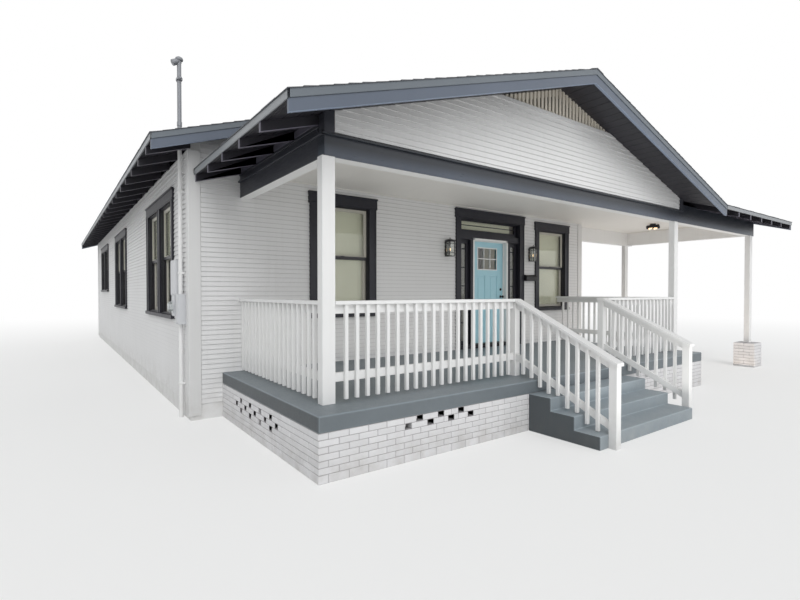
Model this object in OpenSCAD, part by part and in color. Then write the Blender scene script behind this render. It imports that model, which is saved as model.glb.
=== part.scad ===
// Single-storey front-gabled bungalow with a railed front porch, entrance steps
// and a side carport on brick piers. Millimetres, +Z up, front towards -Y.
// The origin is on the ground under the middle of the front wall.

/* [House] */
// Width over the side walls
house_w = 8784; // [8000:1:10500]
// Length over the front and rear walls
house_l = 15095; // [14000:1:18000]
// Thickness of the framed walls
wall_t = 150; // [120:1:200]
// Height of the floor above the ground
floor_z = 650; // [620:1:750]
// Thickness of the floor boards and joists together
floor_t = 180; // [100:1:250]
// Clear height from the floor to the ceilings
room_h = 2705; // [2690:1:2900]
// Height of the wall plates above the ceiling
plate_rise = 225; // [180:1:320]
// Thickness of the ceiling boards
ceiling_t = 16; // [10:1:25]
// Width of the corner boards
corner_board_w = 130; // [80:1:180]
// Thickness of the corner boards
corner_board_t = 22; // [18:1:32]

/* [Roofs] */
// Slope of the main roof, rise over run
main_slope = 0.3333; // [0.28:0.01:0.4]
// Slope of the porch and carport roofs, rise over run
porch_slope = 0.3097; // [0.28:0.01:0.34]
// Thickness of the boards and shingles, measured plumb
deck_t = 85; // [60:1:110]
// Overhang of the main roof at its eaves
main_eave = 533; // [450:1:650]
// Overhang of the main roof at its gables
main_rake = 450; // [350:1:550]
// Overhang of the porch roof at its eaves
porch_eave = 610; // [500:1:650]
// Overhang of the porch roof at its gable
porch_rake = 558; // [540:1:700]
// Overhang of the carport roof at its eaves
carport_eave = 532; // [450:1:538]
// Overhang of the carport roof past the end of its front beam
carport_rake = 737; // [500:1:900]
// Depth of a rafter, square to its slope
rafter_d = 92; // [80:1:110]
// Thickness of a rafter
rafter_t = 45; // [35:1:60]
// Spacing of the main rafters
main_pitch = 680; // [500:1:800]
// Distance of the first whole rafter behind the front wall
main_first = 475; // [300:1:600]
// Largest spacing of the porch and carport rafters
porch_pitch = 612; // [500:1:700]
// Plumb depth of the barge boards
barge_h = 115; // [90:1:130]
// Thickness of the barge boards
barge_t = 38; // [25:1:50]
// Distance of a barge board or rafter end inside the edge of the roof
edge_set = 18; // [8:1:30]
// Height of the gable vent
gable_vent_h = 385; // [300:1:520]
// Spacing of the gable vent's upright slats
slat_pitch = 80; // [60:1:110]
// Width of an upright slat
slat_w = 52; // [40:1:55]

/* [Porch] */
// Width over the porch beams
porch_w = 7466; // [7300:1:7800]
// Depth from the front wall to the front of the beam
porch_d = 2553; // [2400:1:2700]
// Distance from the porch ceiling down to the underside of the beams
beam_drop = 338; // [315:1:400]
// Depth of the beams
beam_h = 214; // [180:1:220]
// Thickness of the beams
beam_t = 140; // [120:1:160]
// Thickness of the framed porch and carport gables
gable_t = 100; // [80:1:120]
// Height of the drip cap on the front beam
cap_rise = 26; // [15:1:40]
// How far the drip cap stands out
cap_out = 34; // [15:1:50]
// Width of the posts along the house front
post_w = 140; // [120:1:160]
// Depth of the posts from front to back
post_d = 106; // [90:1:140]
// How far the posts stand proud of the beams
post_proud = 35; // [0:1:50]
// Place of the right-hand porch post
right_post_x = 3494; // [3400:1:3560]
// Height of the porch floor above the ground
slab_z = 608; // [580:1:620]
// Thickness of the porch floor
slab_t = 155; // [120:1:180]
// How far the porch floor reaches in front of the beam
slab_front = 362; // [250:1:450]
// How far the porch floor reaches beyond the beam at the left
slab_left = 252; // [200:1:350]
// Right-hand edge of the porch floor
slab_right_x = 3750; // [3700:1:3900]
// Thickness of the brick skirt under the porch
skirt_t = 105; // [90:1:130]

/* [Brick vents] */
// Width of a vent hole
vent_w = 85; // [60:1:95]
// Height of a vent hole
vent_h = 60; // [50:1:65]
// Height of the middle row of holes
vent_row_z = 358; // [340:1:365]
// Rise from one row of holes to the next
vent_row_rise = 62; // [62:1:64]
// Spacing of the holes in the front
front_vent_pitch = 144; // [110:1:170]
// Place of the first front hole
front_vent_x = -2991; // [-3100:1:-2900]
// Number of holes in the front
front_vents = 7; // [3:1:9]
// Spacing of the holes in the side
side_vent_pitch = 328; // [230:1:340]
// Distance of the first side hole from the front wall
side_vent_y = 620; // [550:1:700]
// Number of holes in a side's middle row
side_vents = 5; // [3:1:6]

/* [Steps] */
// Left-hand edge of the steps
steps_left_x = -1140; // [-1300:1:-1080]
// Right-hand edge of the steps
steps_right_x = 1075; // [1000:1:1200]
// Number of risers, the last one up to the porch floor
risers = 4; // [3:1:5]
// Depth of a tread
tread = 316; // [280:1:340]

/* [Railings] */
// Height of the railing above the porch floor
rail_h = 1008; // [900:1:1080]
// Thickness of the flat cap rail
cap_t = 38; // [30:1:45]
// Width of the flat cap rail
cap_w = 138; // [120:1:145]
// Height of the rails on edge
rail_d = 90; // [70:1:110]
// Thickness of the rails on edge
rail_t = 38; // [30:1:45]
// Height of the lower rail above the porch floor
low_rail = 207; // [150:1:260]
// Side of a baluster
baluster = 38; // [30:1:42]
// Largest spacing of the balusters
baluster_pitch = 131; // [110:1:150]
// Gap under the balusters
baluster_gap = 30; // [15:1:60]
// Gap under the line of the stair balusters, where it leaves the porch
stair_gap = 101; // [80:1:130]
// Side of the square newels
newel_w = 92; // [85:1:110]
// Place of the left-hand handrail
left_rail_x = -935; // [-1000:1:-850]
// Set-back of the right-hand lower newel from the lowest riser
right_newel_set = 46; // [20:1:120]

/* [Carport] */
// Place of the carport posts
carport_post_x = 7205; // [7000:1:7600]
// How far the front beam runs past the middle of the outer post
beam_tail = 198; // [120:1:260]
// Distance of the rear beam's back face behind the front wall
carport_back = 475; // [440:1:500]
// Length of a brick pier's side along the house front
pier_w = 450; // [380:1:500]
// Length of a brick pier's other side
pier_d = 420; // [380:1:460]
// Height of the brick piers
pier_h = 545; // [450:1:650]

/* [Windows] */
// Width of a window opening
win_w = 960; // [850:1:1000]
// Height of a window opening
win_h = 1720; // [1600:1:1740]
// Distance from the ceiling down to the top of a window opening
win_drop = 275; // [240:1:330]
// Width of the side casings
casing_w = 120; // [100:1:150]
// Height of the head casings
head_h = 170; // [130:1:190]
// Thickness of the casings
casing_t = 32; // [26:1:38]
// How far a head casing reaches past the side casings
head_ear = 20; // [10:1:45]
// Thickness of the sills
sill_t = 45; // [35:1:60]
// How far the sills stand out from the wall
sill_out = 62; // [45:1:80]
// Thickness of the boards that line an opening
liner_t = 22; // [15:1:30]
// Width of the sash bars
sash_w = 52; // [40:1:60]
// Thickness of a sash
sash_t = 36; // [30:1:42]
// How far the meeting rails stand above the middle of an opening
meet_rise = 45; // [0:1:80]
// Thickness of the panes
pane_t = 6; // [4:1:8]
// Width of the mullion between paired windows
mullion_w = 182; // [140:1:240]
// Middle of the left-hand front window
front_win_left_x = -2085; // [-2400:1:-1900]
// Middle of the right-hand front window
front_win_right_x = 3270; // [3250:1:3320]
// Middle of the first window pair along the side walls
side_win_1_y = 2050; // [1800:1:2300]
// Middle of the second window pair along the side walls
side_win_2_y = 7530; // [6500:1:8200]
// Middle of the small window pair along the side walls
side_win_3_y = 12050; // [11000:1:12500]
// How much higher the small pair's sill is
small_win_rise = 425; // [300:1:600]

/* [Door] */
// Middle of the opening for the door, its side lights and transom
door_mid_x = 1306; // [1250:1:1400]
// Width of the opening for the door, its side lights and transom
door_unit_w = 1719; // [1650:1:1800]
// Distance from the ceiling down to the top of that opening
door_drop = 215; // [200:1:250]
// Width of the door leaf
leaf_w = 914; // [760:1:930]
// Distance from the top of that opening down to the top of the door leaf
leaf_drop = 414; // [360:1:480]
// Thickness of the door leaf
leaf_t = 45; // [38:1:50]
// Gap round the door leaf
leaf_gap = 8; // [7:1:10]
// Height of the threshold
threshold_h = 28; // [15:1:40]
// Width of the painted door jambs
jamb_w = 36; // [28:1:45]
// Width of the posts between the painted jambs and the side lights
side_post = 70; // [40:1:80]
// Width of the frame round each side light and the transom
light_frame = 70; // [50:1:80]
// Width of the bar between the door and the transom
transom_bar = 120; // [80:1:140]
// Width of the transom's own top rail
transom_rail = 18; // [12:1:60]
// Radius of a hinge pin
pin_r = 5; // [4:0.5:6]
// Length of a hinge
hinge_l = 102; // [76:1:127]
// Width of the leaf's window
leaf_glass_w = 530; // [450:1:580]
// Height of the leaf's window
leaf_glass_h = 415; // [350:1:480]
// Distance of the leaf's window under the top of the leaf
leaf_glass_top = 135; // [110:1:180]
// Width of the leaf's stiles beside its panels
leaf_stile = 160; // [95:1:180]
// Height of the leaf's rail between its window and its panels
leaf_rail = 130; // [100:1:160]
// Height of the leaf's bottom rail
leaf_foot = 240; // [180:1:280]
// Width of the bar between the leaf's two panels
panel_bar = 120; // [70:1:140]
// Depth of the panels in each face of the leaf
panel_sink = 10; // [6:1:15]
// Height of the knobs above the bottom of the leaf
grip_h = 930; // [880:1:1000]
// Distance of the lock set from the leaf's free edge
lock_set = 62; // [55:1:70]

/* [Fittings] */
// Distance from the ceiling down to the middle of the wall lanterns
lantern_drop = 842; // [740:1:900]
// Distance of a lantern from the edge of the door casing
lantern_gap = 205; // [120:1:220]
// Height of the mailbox above the floor
mailbox_rise = 1300; // [1200:1:1400]
// Distance of the ceiling light from the front wall
ceiling_light_y = 1000; // [800:1:1300]
// Place of the ceiling light across the carport
ceiling_light_x = 5840; // [5400:1:6200]
// Radius of the service mast
mast_r = 30; // [22:1:38]
// Height of the service mast above the roof
mast_rise = 1087; // [900:1:1300]
// Distance of the service mast behind the front wall
mast_y = 225; // [215:1:260]
// Height of the breaker box's underside above the floor
breaker_rise = 1010; // [900:1:1100]
// Width of the breaker box
breaker_w = 320; // [280:1:380]
// Height of the breaker box
breaker_h = 490; // [400:1:560]
// Width of the box on the mast
mast_box_w = 190; // [150:1:240]
// Height of the box on the mast
mast_box_h = 410; // [340:1:480]
// Depth of the boxes
box_deep = 110; // [90:1:140]
// Radius of the meter
meter_r = 85; // [75:1:95]

/* [Hidden] */

// Colours of the finishes
white = [0.93, 0.93, 0.92];
charcoal = [0.17, 0.19, 0.23];
slate = [0.32, 0.35, 0.40];
shingle = [0.25, 0.26, 0.28];
floor_gray = [0.40, 0.44, 0.47];
teal = [0.50, 0.71, 0.75];
glass_tint = [0.62, 0.70, 0.72, 0.45];
black = [0.06, 0.06, 0.07];
box_gray = [0.80, 0.81, 0.82];
slat_tan = [0.72, 0.69, 0.63];

// Walls and floors
half_w = house_w / 2;
front_y = -wall_t / 2;
front_in = wall_t / 2;
rear_y = front_y + house_l;
rear_in = rear_y - wall_t;
side_in = half_w - wall_t;
ceiling_z = floor_z + room_h;
seat = 22;
lap = 1;
// Clearance under the roofs, so that what carries them doesn't share their sloped face
bed = 0.05;

gable_z = ceiling_z - door_drop;

// Main roof, falling both ways from a ridge over x = 0
main_foot_z = ceiling_z + plate_rise;
main_fall = rafter_d * sqrt(1 + main_slope * main_slope);
main_ridge_z = main_foot_z + main_fall + deck_t + half_w * main_slope;
main_edge = half_w + main_eave;
main_front = front_y - main_rake;
main_rear = rear_y + main_rake;
main_tail = main_edge - edge_set;
function main_top(x) = main_ridge_z - abs(x) * main_slope;
function main_under(x) = main_top(x) - deck_t - bed;

// Porch roof, falling both ways from a lower ridge over x = 0
porch_half = porch_w / 2;
foot_drop = 18;
beam_front = front_y - porch_d;
beam_z = ceiling_z - beam_drop;
beam_top = beam_z + beam_h;
porch_foot_z = ceiling_z - foot_drop;
porch_fall = rafter_d * sqrt(1 + porch_slope * porch_slope);
beam_roof_z = porch_foot_z + porch_fall + deck_t;
porch_ridge_z = beam_roof_z + porch_half * porch_slope;
porch_edge = porch_half + porch_eave;
porch_front = beam_front - porch_rake;
function porch_top(x) = porch_ridge_z - abs(x) * porch_slope;
function porch_under(x) = porch_top(x) - deck_t - bed;
vent_z = porch_under(0) - gable_vent_h;

// Carport roof, falling to the front and the rear from a ridge along x
side_edge_x = carport_post_x + beam_tail;
carport_rear = front_y + carport_back;
carport_mid = (beam_front + carport_rear) / 2;
carport_half = carport_mid - beam_front;
carport_ridge_z = beam_roof_z + carport_half * porch_slope;
carport_front_edge = beam_front - carport_eave;
carport_rear_edge = carport_rear + carport_eave;
carport_side = side_edge_x + carport_rake;
function carport_top(y) = carport_ridge_z - abs(y - carport_mid) * porch_slope;
function carport_under(y) = carport_top(y) - deck_t - bed;
// Where the carport roof meets the right-hand slope of the porch roof
valley_mid_x = (porch_ridge_z - carport_ridge_z) / porch_slope;
function valley_x(y) = valley_mid_x + abs(y - carport_mid);

// Posts, porch floor and steps
left_post_x = -porch_half + post_w / 2 - post_proud;
post_y = beam_front + post_w / 2 - post_proud;
carport_rear_post_y = carport_rear - post_w / 2 + post_proud;
slab_front_y = beam_front - slab_front;
slab_left_x = -porch_half - slab_left;
slab_under = slab_z - slab_t;
riser = slab_z / risers;
step_front = slab_front_y - tread * (risers - 1);
rail_slope = riser / tread;
// Height of the porch floor or the tread at y
function step_z(y) = y > slab_front_y ? slab_z : riser * max(0, risers - ceil((slab_front_y - y) / tread));
right_rail_x = steps_right_x + newel_w / 2;
rail_top = slab_z + rail_h;
toe_gap = 8;

// Window and door openings
win_top = ceiling_z - win_drop;
win_z = win_top - win_h;
small_win_z = win_z + small_win_rise;
rear_wins = [front_win_left_x, -front_win_left_x];
side_pairs = [
    [side_win_1_y, win_z],
    [side_win_2_y, win_z],
    [side_win_3_y, small_win_z]
];
pair_step = win_w + mullion_w;
door_left = door_mid_x - door_unit_w / 2;
door_right = door_mid_x + door_unit_w / 2;
leaf_left = door_mid_x - leaf_w / 2;
leaf_right = door_mid_x + leaf_w / 2;
leaf_z = floor_z + threshold_h + leaf_gap;
leaf_top = gable_z - leaf_drop;
leaf_h = leaf_top - leaf_z;
door_head = leaf_top + leaf_gap;
leaf_y = front_in - leaf_t;
light_y = -15;
light_t = 40;
transom_z = door_head + transom_bar;
side_left = leaf_left - leaf_gap - jamb_w - side_post;
side_right = leaf_right + leaf_gap + jamb_w + side_post;
sash_y = -sash_t;
reveal = liner_t / 2;
head_out = 6;

// Door hinges, the pin's axis at hinge_x, hinge_y
plate_t = 3;
knuckle_r = pin_r + plate_t;
knuckle_gap = 1;
pin_clear = 0.1;
hinge_x = leaf_left;
hinge_y = front_in + knuckle_r + knuckle_gap;
hinge_inset = 180;
hinge_zs = [leaf_z + hinge_inset, leaf_z + (leaf_h - hinge_l) / 2, leaf_top - hinge_inset - hinge_l];

// Service mast, which passes through the left-hand eave
mast_x = -half_w - mast_r - 25;
mast_clear = 8;
mast_z = main_top(mast_x) + mast_rise;

// Fittings
grip_z = leaf_z + grip_h;
lantern_z = ceiling_z - lantern_drop;
mailbox_z = floor_z + mailbox_rise;

// Box between two opposite corners
module block(low, high) {
    translate(low) cube(high - low);
}

// Outline in x and z, drawn out from y0 to y1
module along_y(points, y0, y1) {
    translate([0, y1, 0]) rotate([90, 0, 0])
        linear_extrude(y1 - y0) polygon(points);
}

// Outline in y and z, drawn out from x0 to x1
module along_x(points, x0, x1) {
    translate([x0, 0, 0]) rotate([90, 0, 90])
        linear_extrude(x1 - x0) polygon(points);
}

// Walls

// Holes for windows in a wall that faces along y
module front_holes(mids, z0, z1) {
    for (x = mids)
        block([x - win_w / 2, front_y - lap, z0], [x + win_w / 2, front_in + lap, z1]);
}

// Holes for pairs of windows in a side wall, at x0 to x1
module pair_holes(x0, x1) {
    for (pair = side_pairs, side = [-1, 1]) {
        mid = pair[0] + side * pair_step / 2;
        block([x0 - lap, mid - win_w / 2, pair[1]], [x1 + lap, mid + win_w / 2, win_top]);
    }
}

module front_base() {
    color(white) block([-half_w, front_y, 0], [half_w, front_in, floor_z]);
}

module front_wall_left() {
    color(white) difference() {
        block([-half_w, front_y, floor_z], [door_left, front_in, gable_z]);
        front_holes([front_win_left_x], win_z, win_top);
    }
}

module front_wall_right() {
    color(white) difference() {
        block([door_right, front_y, floor_z], [half_w, front_in, gable_z]);
        front_holes([front_win_right_x], win_z, win_top);
    }
}

module front_gable() {
    outline = [
        [-half_w, gable_z], [half_w, gable_z], [half_w, main_under(half_w)],
        [0, main_under(0)], [-half_w, main_under(half_w)]
    ];
    color(white) along_y(outline, front_y, front_in);
}

module left_wall() {
    color(white) difference() {
        block([-half_w, front_in, 0], [-side_in, rear_in, main_foot_z + seat]);
        pair_holes(-half_w, -side_in);
    }
}

module right_wall() {
    mirror([1, 0, 0]) left_wall();
}

module rear_wall() {
    outline = [
        [-half_w, 0], [half_w, 0], [half_w, main_under(half_w)],
        [0, main_under(0)], [-half_w, main_under(half_w)]
    ];
    color(white) difference() {
        along_y(outline, rear_in, rear_y);
        translate([0, rear_y - front_in, 0])
            front_holes(rear_wins, win_z, win_top);
    }
}

module house_floor() {
    color("burlywood") block([-side_in, front_in, floor_z - floor_t], [side_in, rear_in, floor_z]);
}

module house_ceiling() {
    color(white) block([-side_in, front_in, ceiling_z], [side_in, rear_in, ceiling_z + ceiling_t]);
}

// One corner board: two boards that lap the front-left corner of the house
module corner_board(top) {
    low = 60;
    face_y = front_y - corner_board_t;
    block([-half_w - corner_board_t, face_y, low], [-half_w, front_y + corner_board_w, top]);
    block([-half_w - lap, face_y, low], [-half_w + corner_board_w, front_y, top]);
}

module corner_boards() {
    top = main_foot_z - corner_board_t * main_slope;
    mid_y = (front_y + rear_y) / 2;
    color(white) difference() {
        for (side = [0, 1], end = [0, 1])
            mirror([side, 0, 0]) translate([0, mid_y, 0]) mirror([0, end, 0])
                translate([0, -mid_y, 0]) corner_board(top);
        porch_deck();
        porch_slab();
        porch_ceiling();
        carport_rear_beam();
    }
}

// Roofs

// Half of a gable roof from the ridge down to its edge at x = -edge
module roof_half(ridge_z, slope, edge, y0, y1) {
    edge_z = ridge_z - edge * slope;
    along_y([[-edge, edge_z - deck_t], [0, ridge_z - deck_t], [0, ridge_z], [-edge, edge_z]], y0, y1);
}

module main_roof_left() {
    color(shingle) difference() {
        roof_half(main_ridge_z, main_slope, main_edge, main_front, main_rear);
        translate([mast_x, mast_y, ceiling_z]) cylinder(h = main_ridge_z, r = mast_r + mast_clear);
    }
}

module main_roof_right() {
    color(shingle) mirror([1, 0, 0]) roof_half(main_ridge_z, main_slope, main_edge, main_front, main_rear);
}

// One rafter of the main roof's left-hand half, notched over the wall plate
module main_rafter(y, inner) {
    foot = main_foot_z;
    notch = half_w - seat / main_slope;
    along_y([
        [-main_tail, main_under(main_tail)],
        [-main_tail, main_under(main_tail) - main_fall],
        [-half_w, foot],
        [-half_w, foot + seat],
        [-notch, foot + seat],
        [-inner, main_under(inner) - main_fall],
        [-inner, main_under(inner)]
    ], y - rafter_t / 2, y + rafter_t / 2);
}

// Short rafter end outside the gable wall
module main_tail_end(y) {
    along_y([
        [-main_tail, main_under(main_tail)],
        [-main_tail, main_under(main_tail) - main_fall],
        [-half_w, main_foot_z],
        [-half_w, main_under(half_w)]
    ], y - rafter_t / 2, y + rafter_t / 2);
}

module main_rafter_row() {
    first = front_in + main_first;
    count = floor((rear_in - rafter_t - first) / main_pitch);
    ridge_board = rafter_t / 2;
    block_t = 38;
    for (n = [0 : count])
        main_rafter(first + n * main_pitch, ridge_board);
    along_y([
        [-half_w, main_foot_z + seat], [-half_w + block_t, main_foot_z + seat],
        [-half_w + block_t, main_under(half_w - block_t)], [-half_w, main_under(half_w)]
    ], front_in, rear_in);
    main_tail_end(front_y - rafter_t);
    main_tail_end(rear_y + rafter_t);
}

module main_rafters_left() {
    color(charcoal) main_rafter_row();
}

module main_rafters_right() {
    ridge_board = rafter_t / 2;
    color(charcoal) {
        mirror([1, 0, 0]) main_rafter_row();
        block([-ridge_board, front_in, main_under(0) - main_fall - rafter_t],
              [ridge_board, rear_in, main_under(ridge_board)]);
    }
}

// Barge boards under both slopes of a gable roof, from y0 to y0 + barge_t
module barge_pair(ridge_z, slope, edge, y0) {
    under = ridge_z - deck_t - bed;
    end = edge - edge_set;
    along_y([
        [-end, under - end * slope], [0, under], [end, under - end * slope],
        [end, under - end * slope - barge_h], [0, under - barge_h],
        [-end, under - end * slope - barge_h]
    ], y0, y0 + barge_t);
}

module main_barge_boards() {
    color(slate) {
        barge_pair(main_ridge_z, main_slope, main_edge, main_front + edge_set);
        barge_pair(main_ridge_z, main_slope, main_edge, main_rear - edge_set - barge_t);
    }
}

// The whole porch roof in plan, up to its valleys with the carport roof
module porch_plan(y0, y1) {
    linear_extrude(porch_ridge_z) polygon([
        [0, y0], [porch_edge, y0], [porch_edge, carport_front_edge],
        [valley_x(carport_front_edge), carport_front_edge], [valley_mid_x, carport_mid],
        [valley_x(y1), y1], [0, y1]
    ]);
}

module porch_roof_left() {
    color(shingle) roof_half(porch_ridge_z, porch_slope, porch_edge, porch_front, front_y);
}

module porch_roof_right() {
    color(shingle) intersection() {
        mirror([1, 0, 0]) roof_half(porch_ridge_z, porch_slope, porch_edge, porch_front, front_y);
        porch_plan(porch_front, front_y);
    }
}

module porch_deck() {
    porch_roof_left();
    porch_roof_right();
}

// Rafter end of the porch's left-hand eave, notched over the side beam's plate
module porch_rafter(y) {
    tail = porch_edge - edge_set;
    notch = porch_half - seat / porch_slope;
    inner = porch_half - beam_t;
    along_y([
        [-tail, porch_under(tail)],
        [-tail, porch_under(tail) - porch_fall],
        [-porch_half, porch_foot_z],
        [-porch_half, porch_foot_z + seat],
        [-notch, porch_foot_z + seat],
        [-inner, porch_under(inner) - porch_fall],
        [-inner, porch_under(inner)]
    ], y - rafter_t / 2, y + rafter_t / 2);
}

module porch_rafters() {
    first = beam_front + gable_t + rafter_t / 2;
    run = front_y - corner_board_t - rafter_t / 2 - first;
    bays = ceil(run / porch_pitch);
    board = 25;
    color(charcoal) {
        for (n = [0 : bays])
            porch_rafter(first + n * run / bays);
        along_y([
            [-porch_half, porch_foot_z + seat], [-porch_half + board, porch_foot_z + seat],
            [-porch_half + board, porch_under(porch_half - board)], [-porch_half, porch_under(porch_half)]
        ], beam_front + gable_t, front_y);
    }
}

module porch_barge_boards() {
    y0 = porch_front + edge_set;
    x1 = carport_side - edge_set;
    color(slate) {
        barge_pair(porch_ridge_z, porch_slope, porch_edge, y0);
        along_x([
            [carport_front_edge + edge_set, carport_under(carport_front_edge + edge_set)],
            [carport_mid, carport_under(carport_mid)],
            [carport_rear_edge - edge_set, carport_under(carport_rear_edge - edge_set)],
            [carport_rear_edge - edge_set, carport_under(carport_rear_edge - edge_set) - barge_h],
            [carport_mid, carport_under(carport_mid) - barge_h],
            [carport_front_edge + edge_set, carport_under(carport_front_edge + edge_set) - barge_h]
        ], x1 - barge_t, x1);
    }
}

// Room that the main roof's right-hand overhang takes up
module main_overhang() {
    along_y([
        [0, main_under(0) - barge_h], [0, main_ridge_z],
        [main_edge, main_top(main_edge)], [main_edge, main_under(main_edge) - barge_h]
    ], main_front, front_y);
    along_y([[0, 0], [0, main_ridge_z], [main_edge, main_top(main_edge)], [main_edge, 0]], front_y, rear_y);
}

module carport_roof() {
    outline = [
        [carport_front_edge, carport_top(carport_front_edge) - deck_t],
        [carport_mid, carport_ridge_z - deck_t],
        [carport_rear_edge, carport_top(carport_rear_edge) - deck_t],
        [carport_rear_edge, carport_top(carport_rear_edge)],
        [carport_mid, carport_ridge_z],
        [carport_front_edge, carport_top(carport_front_edge)]
    ];
    color(shingle) difference() {
        along_x(outline, valley_mid_x, carport_side);
        translate([0, 0, -lap]) linear_extrude(porch_ridge_z) polygon([
            [valley_mid_x - lap, carport_front_edge - lap],
            [valley_x(carport_front_edge) + lap, carport_front_edge - lap],
            [valley_mid_x, carport_mid],
            [valley_x(front_y), front_y],
            [valley_x(front_y), carport_rear_edge + lap],
            [valley_mid_x - lap, carport_rear_edge + lap]
        ]);
        main_overhang();
    }
}

// Rafter ends at the carport's front and rear eaves, notched over the plates
module carport_rafter_front(x) {
    tail = carport_front_edge + edge_set;
    inner = beam_front + beam_t;
    along_x([
        [tail, carport_under(tail)],
        [tail, carport_under(tail) - porch_fall],
        [beam_front, porch_foot_z],
        [beam_front, porch_foot_z + seat],
        [beam_front + seat / porch_slope, porch_foot_z + seat],
        [inner, carport_under(inner) - porch_fall],
        [inner, carport_under(inner)]
    ], x - rafter_t / 2, x + rafter_t / 2);
}

module carport_rafters() {
    first = porch_edge + rafter_t;
    last = carport_side - edge_set - barge_t - rafter_t;
    bays = ceil((last - first) / porch_pitch);
    rear_first = main_edge + rafter_t;
    rear_bays = ceil((last - rear_first) / porch_pitch);
    color(charcoal) {
        for (n = [0 : bays])
            carport_rafter_front(first + n * (last - first) / bays);
        for (n = [0 : rear_bays])
            translate([0, 2 * carport_mid, 0]) mirror([0, 1, 0])
                carport_rafter_front(rear_first + n * (last - rear_first) / rear_bays);
    }
}

// Porch and carport frame

module porch_slab() {
    color(floor_gray) block([slab_left_x, slab_front_y, slab_under], [slab_right_x, front_y, slab_z]);
}

// One hole through the skirt, in the front or in a side
module front_vent(x, z) {
    block([x - vent_w / 2, slab_front_y - lap, z - vent_h / 2],
          [x + vent_w / 2, slab_front_y + skirt_t + lap, z + vent_h / 2]);
}
module side_vent(x0, y, z) {
    block([x0 - lap, y - vent_w / 2, z - vent_h / 2],
          [x0 + skirt_t + lap, y + vent_w / 2, z + vent_h / 2]);
}

module porch_skirt() {
    inner_left = slab_left_x + skirt_t;
    inner_right = slab_right_x - skirt_t;
    color(white) difference() {
        block([slab_left_x, slab_front_y, 0], [slab_right_x, front_y, slab_under]);
        block([inner_left, slab_front_y + skirt_t, -lap], [inner_right, front_y + lap, slab_under + lap]);
        for (n = [0 : front_vents - 1])
            front_vent(front_vent_x + n * front_vent_pitch, vent_row_z + (n % 2) * vent_row_rise);
        for (n = [0 : side_vents - 1])
            side_vent(slab_left_x, front_y - side_vent_y - n * side_vent_pitch, vent_row_z - vent_row_rise);
        for (n = [0 : side_vents - 2], row = [-1, 1])
            side_vent(slab_left_x, front_y - side_vent_y - (n + 0.5) * side_vent_pitch,
                      vent_row_z + (row - 1) * vent_row_rise);
    }
}

module front_steps() {
    outline = [
        [slab_front_y, 0], [step_front, 0],
        for (n = [1 : risers - 1]) each [
            [step_front + (n - 1) * tread, n * riser],
            [step_front + n * tread, n * riser]
        ]
    ];
    color(floor_gray) along_x(outline, steps_left_x, steps_right_x);
}

// Square post standing at x, y
module post(x, y, z0, z1, side) {
    block([x - side / 2, y - side / 2, z0], [x + side / 2, y + side / 2, z1]);
}

// Post under a beam, its foot at z0
module timber_post(x, y, z0) {
    block([x - post_w / 2, y - post_d / 2, z0], [x + post_w / 2, y + post_d / 2, beam_z]);
}

module porch_posts() {
    color(white) {
        timber_post(left_post_x, post_y, slab_z);
        timber_post(right_post_x, post_y, slab_z);
    }
}

module carport_posts() {
    color(white) {
        timber_post(carport_post_x, post_y, pier_h);
        timber_post(carport_post_x, carport_rear_post_y, pier_h);
    }
}

module carport_piers() {
    color(white)
        for (y = [post_y, carport_rear_post_y])
            block([carport_post_x - pier_w / 2, y - pier_d / 2, 0],
                  [carport_post_x + pier_w / 2, y + pier_d / 2, pier_h]);
}

module front_beam() {
    plate_x = porch_half + edge_set;
    color(charcoal) {
        block([-porch_half, beam_front, beam_z], [side_edge_x, beam_front + beam_t, beam_top]);
        block([porch_half, beam_front, beam_z], [side_edge_x, beam_front + beam_t, porch_foot_z]);
        block([porch_half, beam_front, beam_z],
              [carport_post_x + beam_t / 2, beam_front + beam_t, porch_foot_z + seat]);
        along_x([
            [beam_front + lap, beam_top - cap_rise / 2], [beam_front - cap_out, beam_top - cap_rise / 2],
            [beam_front - cap_out, beam_top], [beam_front, beam_top + cap_rise], [beam_front, beam_top],
            [beam_front + lap, beam_top]
        ], -porch_half - cap_out, plate_x);
    }
}

module left_beam() {
    color(charcoal)
        block([-porch_half, beam_front + beam_t, beam_z],
              [-porch_half + beam_t, front_y, porch_foot_z + seat]);
}

module carport_side_beam() {
    color(charcoal)
        block([carport_post_x - beam_t / 2, beam_front + beam_t, beam_z],
              [carport_post_x + beam_t / 2, carport_rear - beam_t, porch_foot_z + seat]);
}

module carport_rear_beam() {
    color(charcoal) {
        block([half_w, carport_rear - beam_t, beam_z],
              [side_edge_x, carport_rear, porch_foot_z]);
        block([half_w, carport_rear - beam_t, beam_z],
              [carport_post_x + beam_t / 2, carport_rear, porch_foot_z + seat]);
    }
}

module porch_ceiling() {
    color(white) {
        block([-porch_half + beam_t, beam_front + beam_t, ceiling_z],
              [carport_post_x - beam_t / 2, front_y, ceiling_z + ceiling_t]);
        block([half_w, front_y - lap, ceiling_z],
              [carport_post_x - beam_t / 2, carport_rear - beam_t, ceiling_z + ceiling_t]);
    }
}

module porch_gable() {
    vent_half = (porch_under(0) - vent_z) / porch_slope;
    color(white)
        along_y([
            [-porch_half, beam_top], [porch_half, beam_top], [porch_half, porch_under(porch_half)],
            [vent_half, vent_z], [-vent_half, vent_z], [-porch_half, porch_under(porch_half)]
        ], beam_front, beam_front + gable_t);
}

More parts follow.
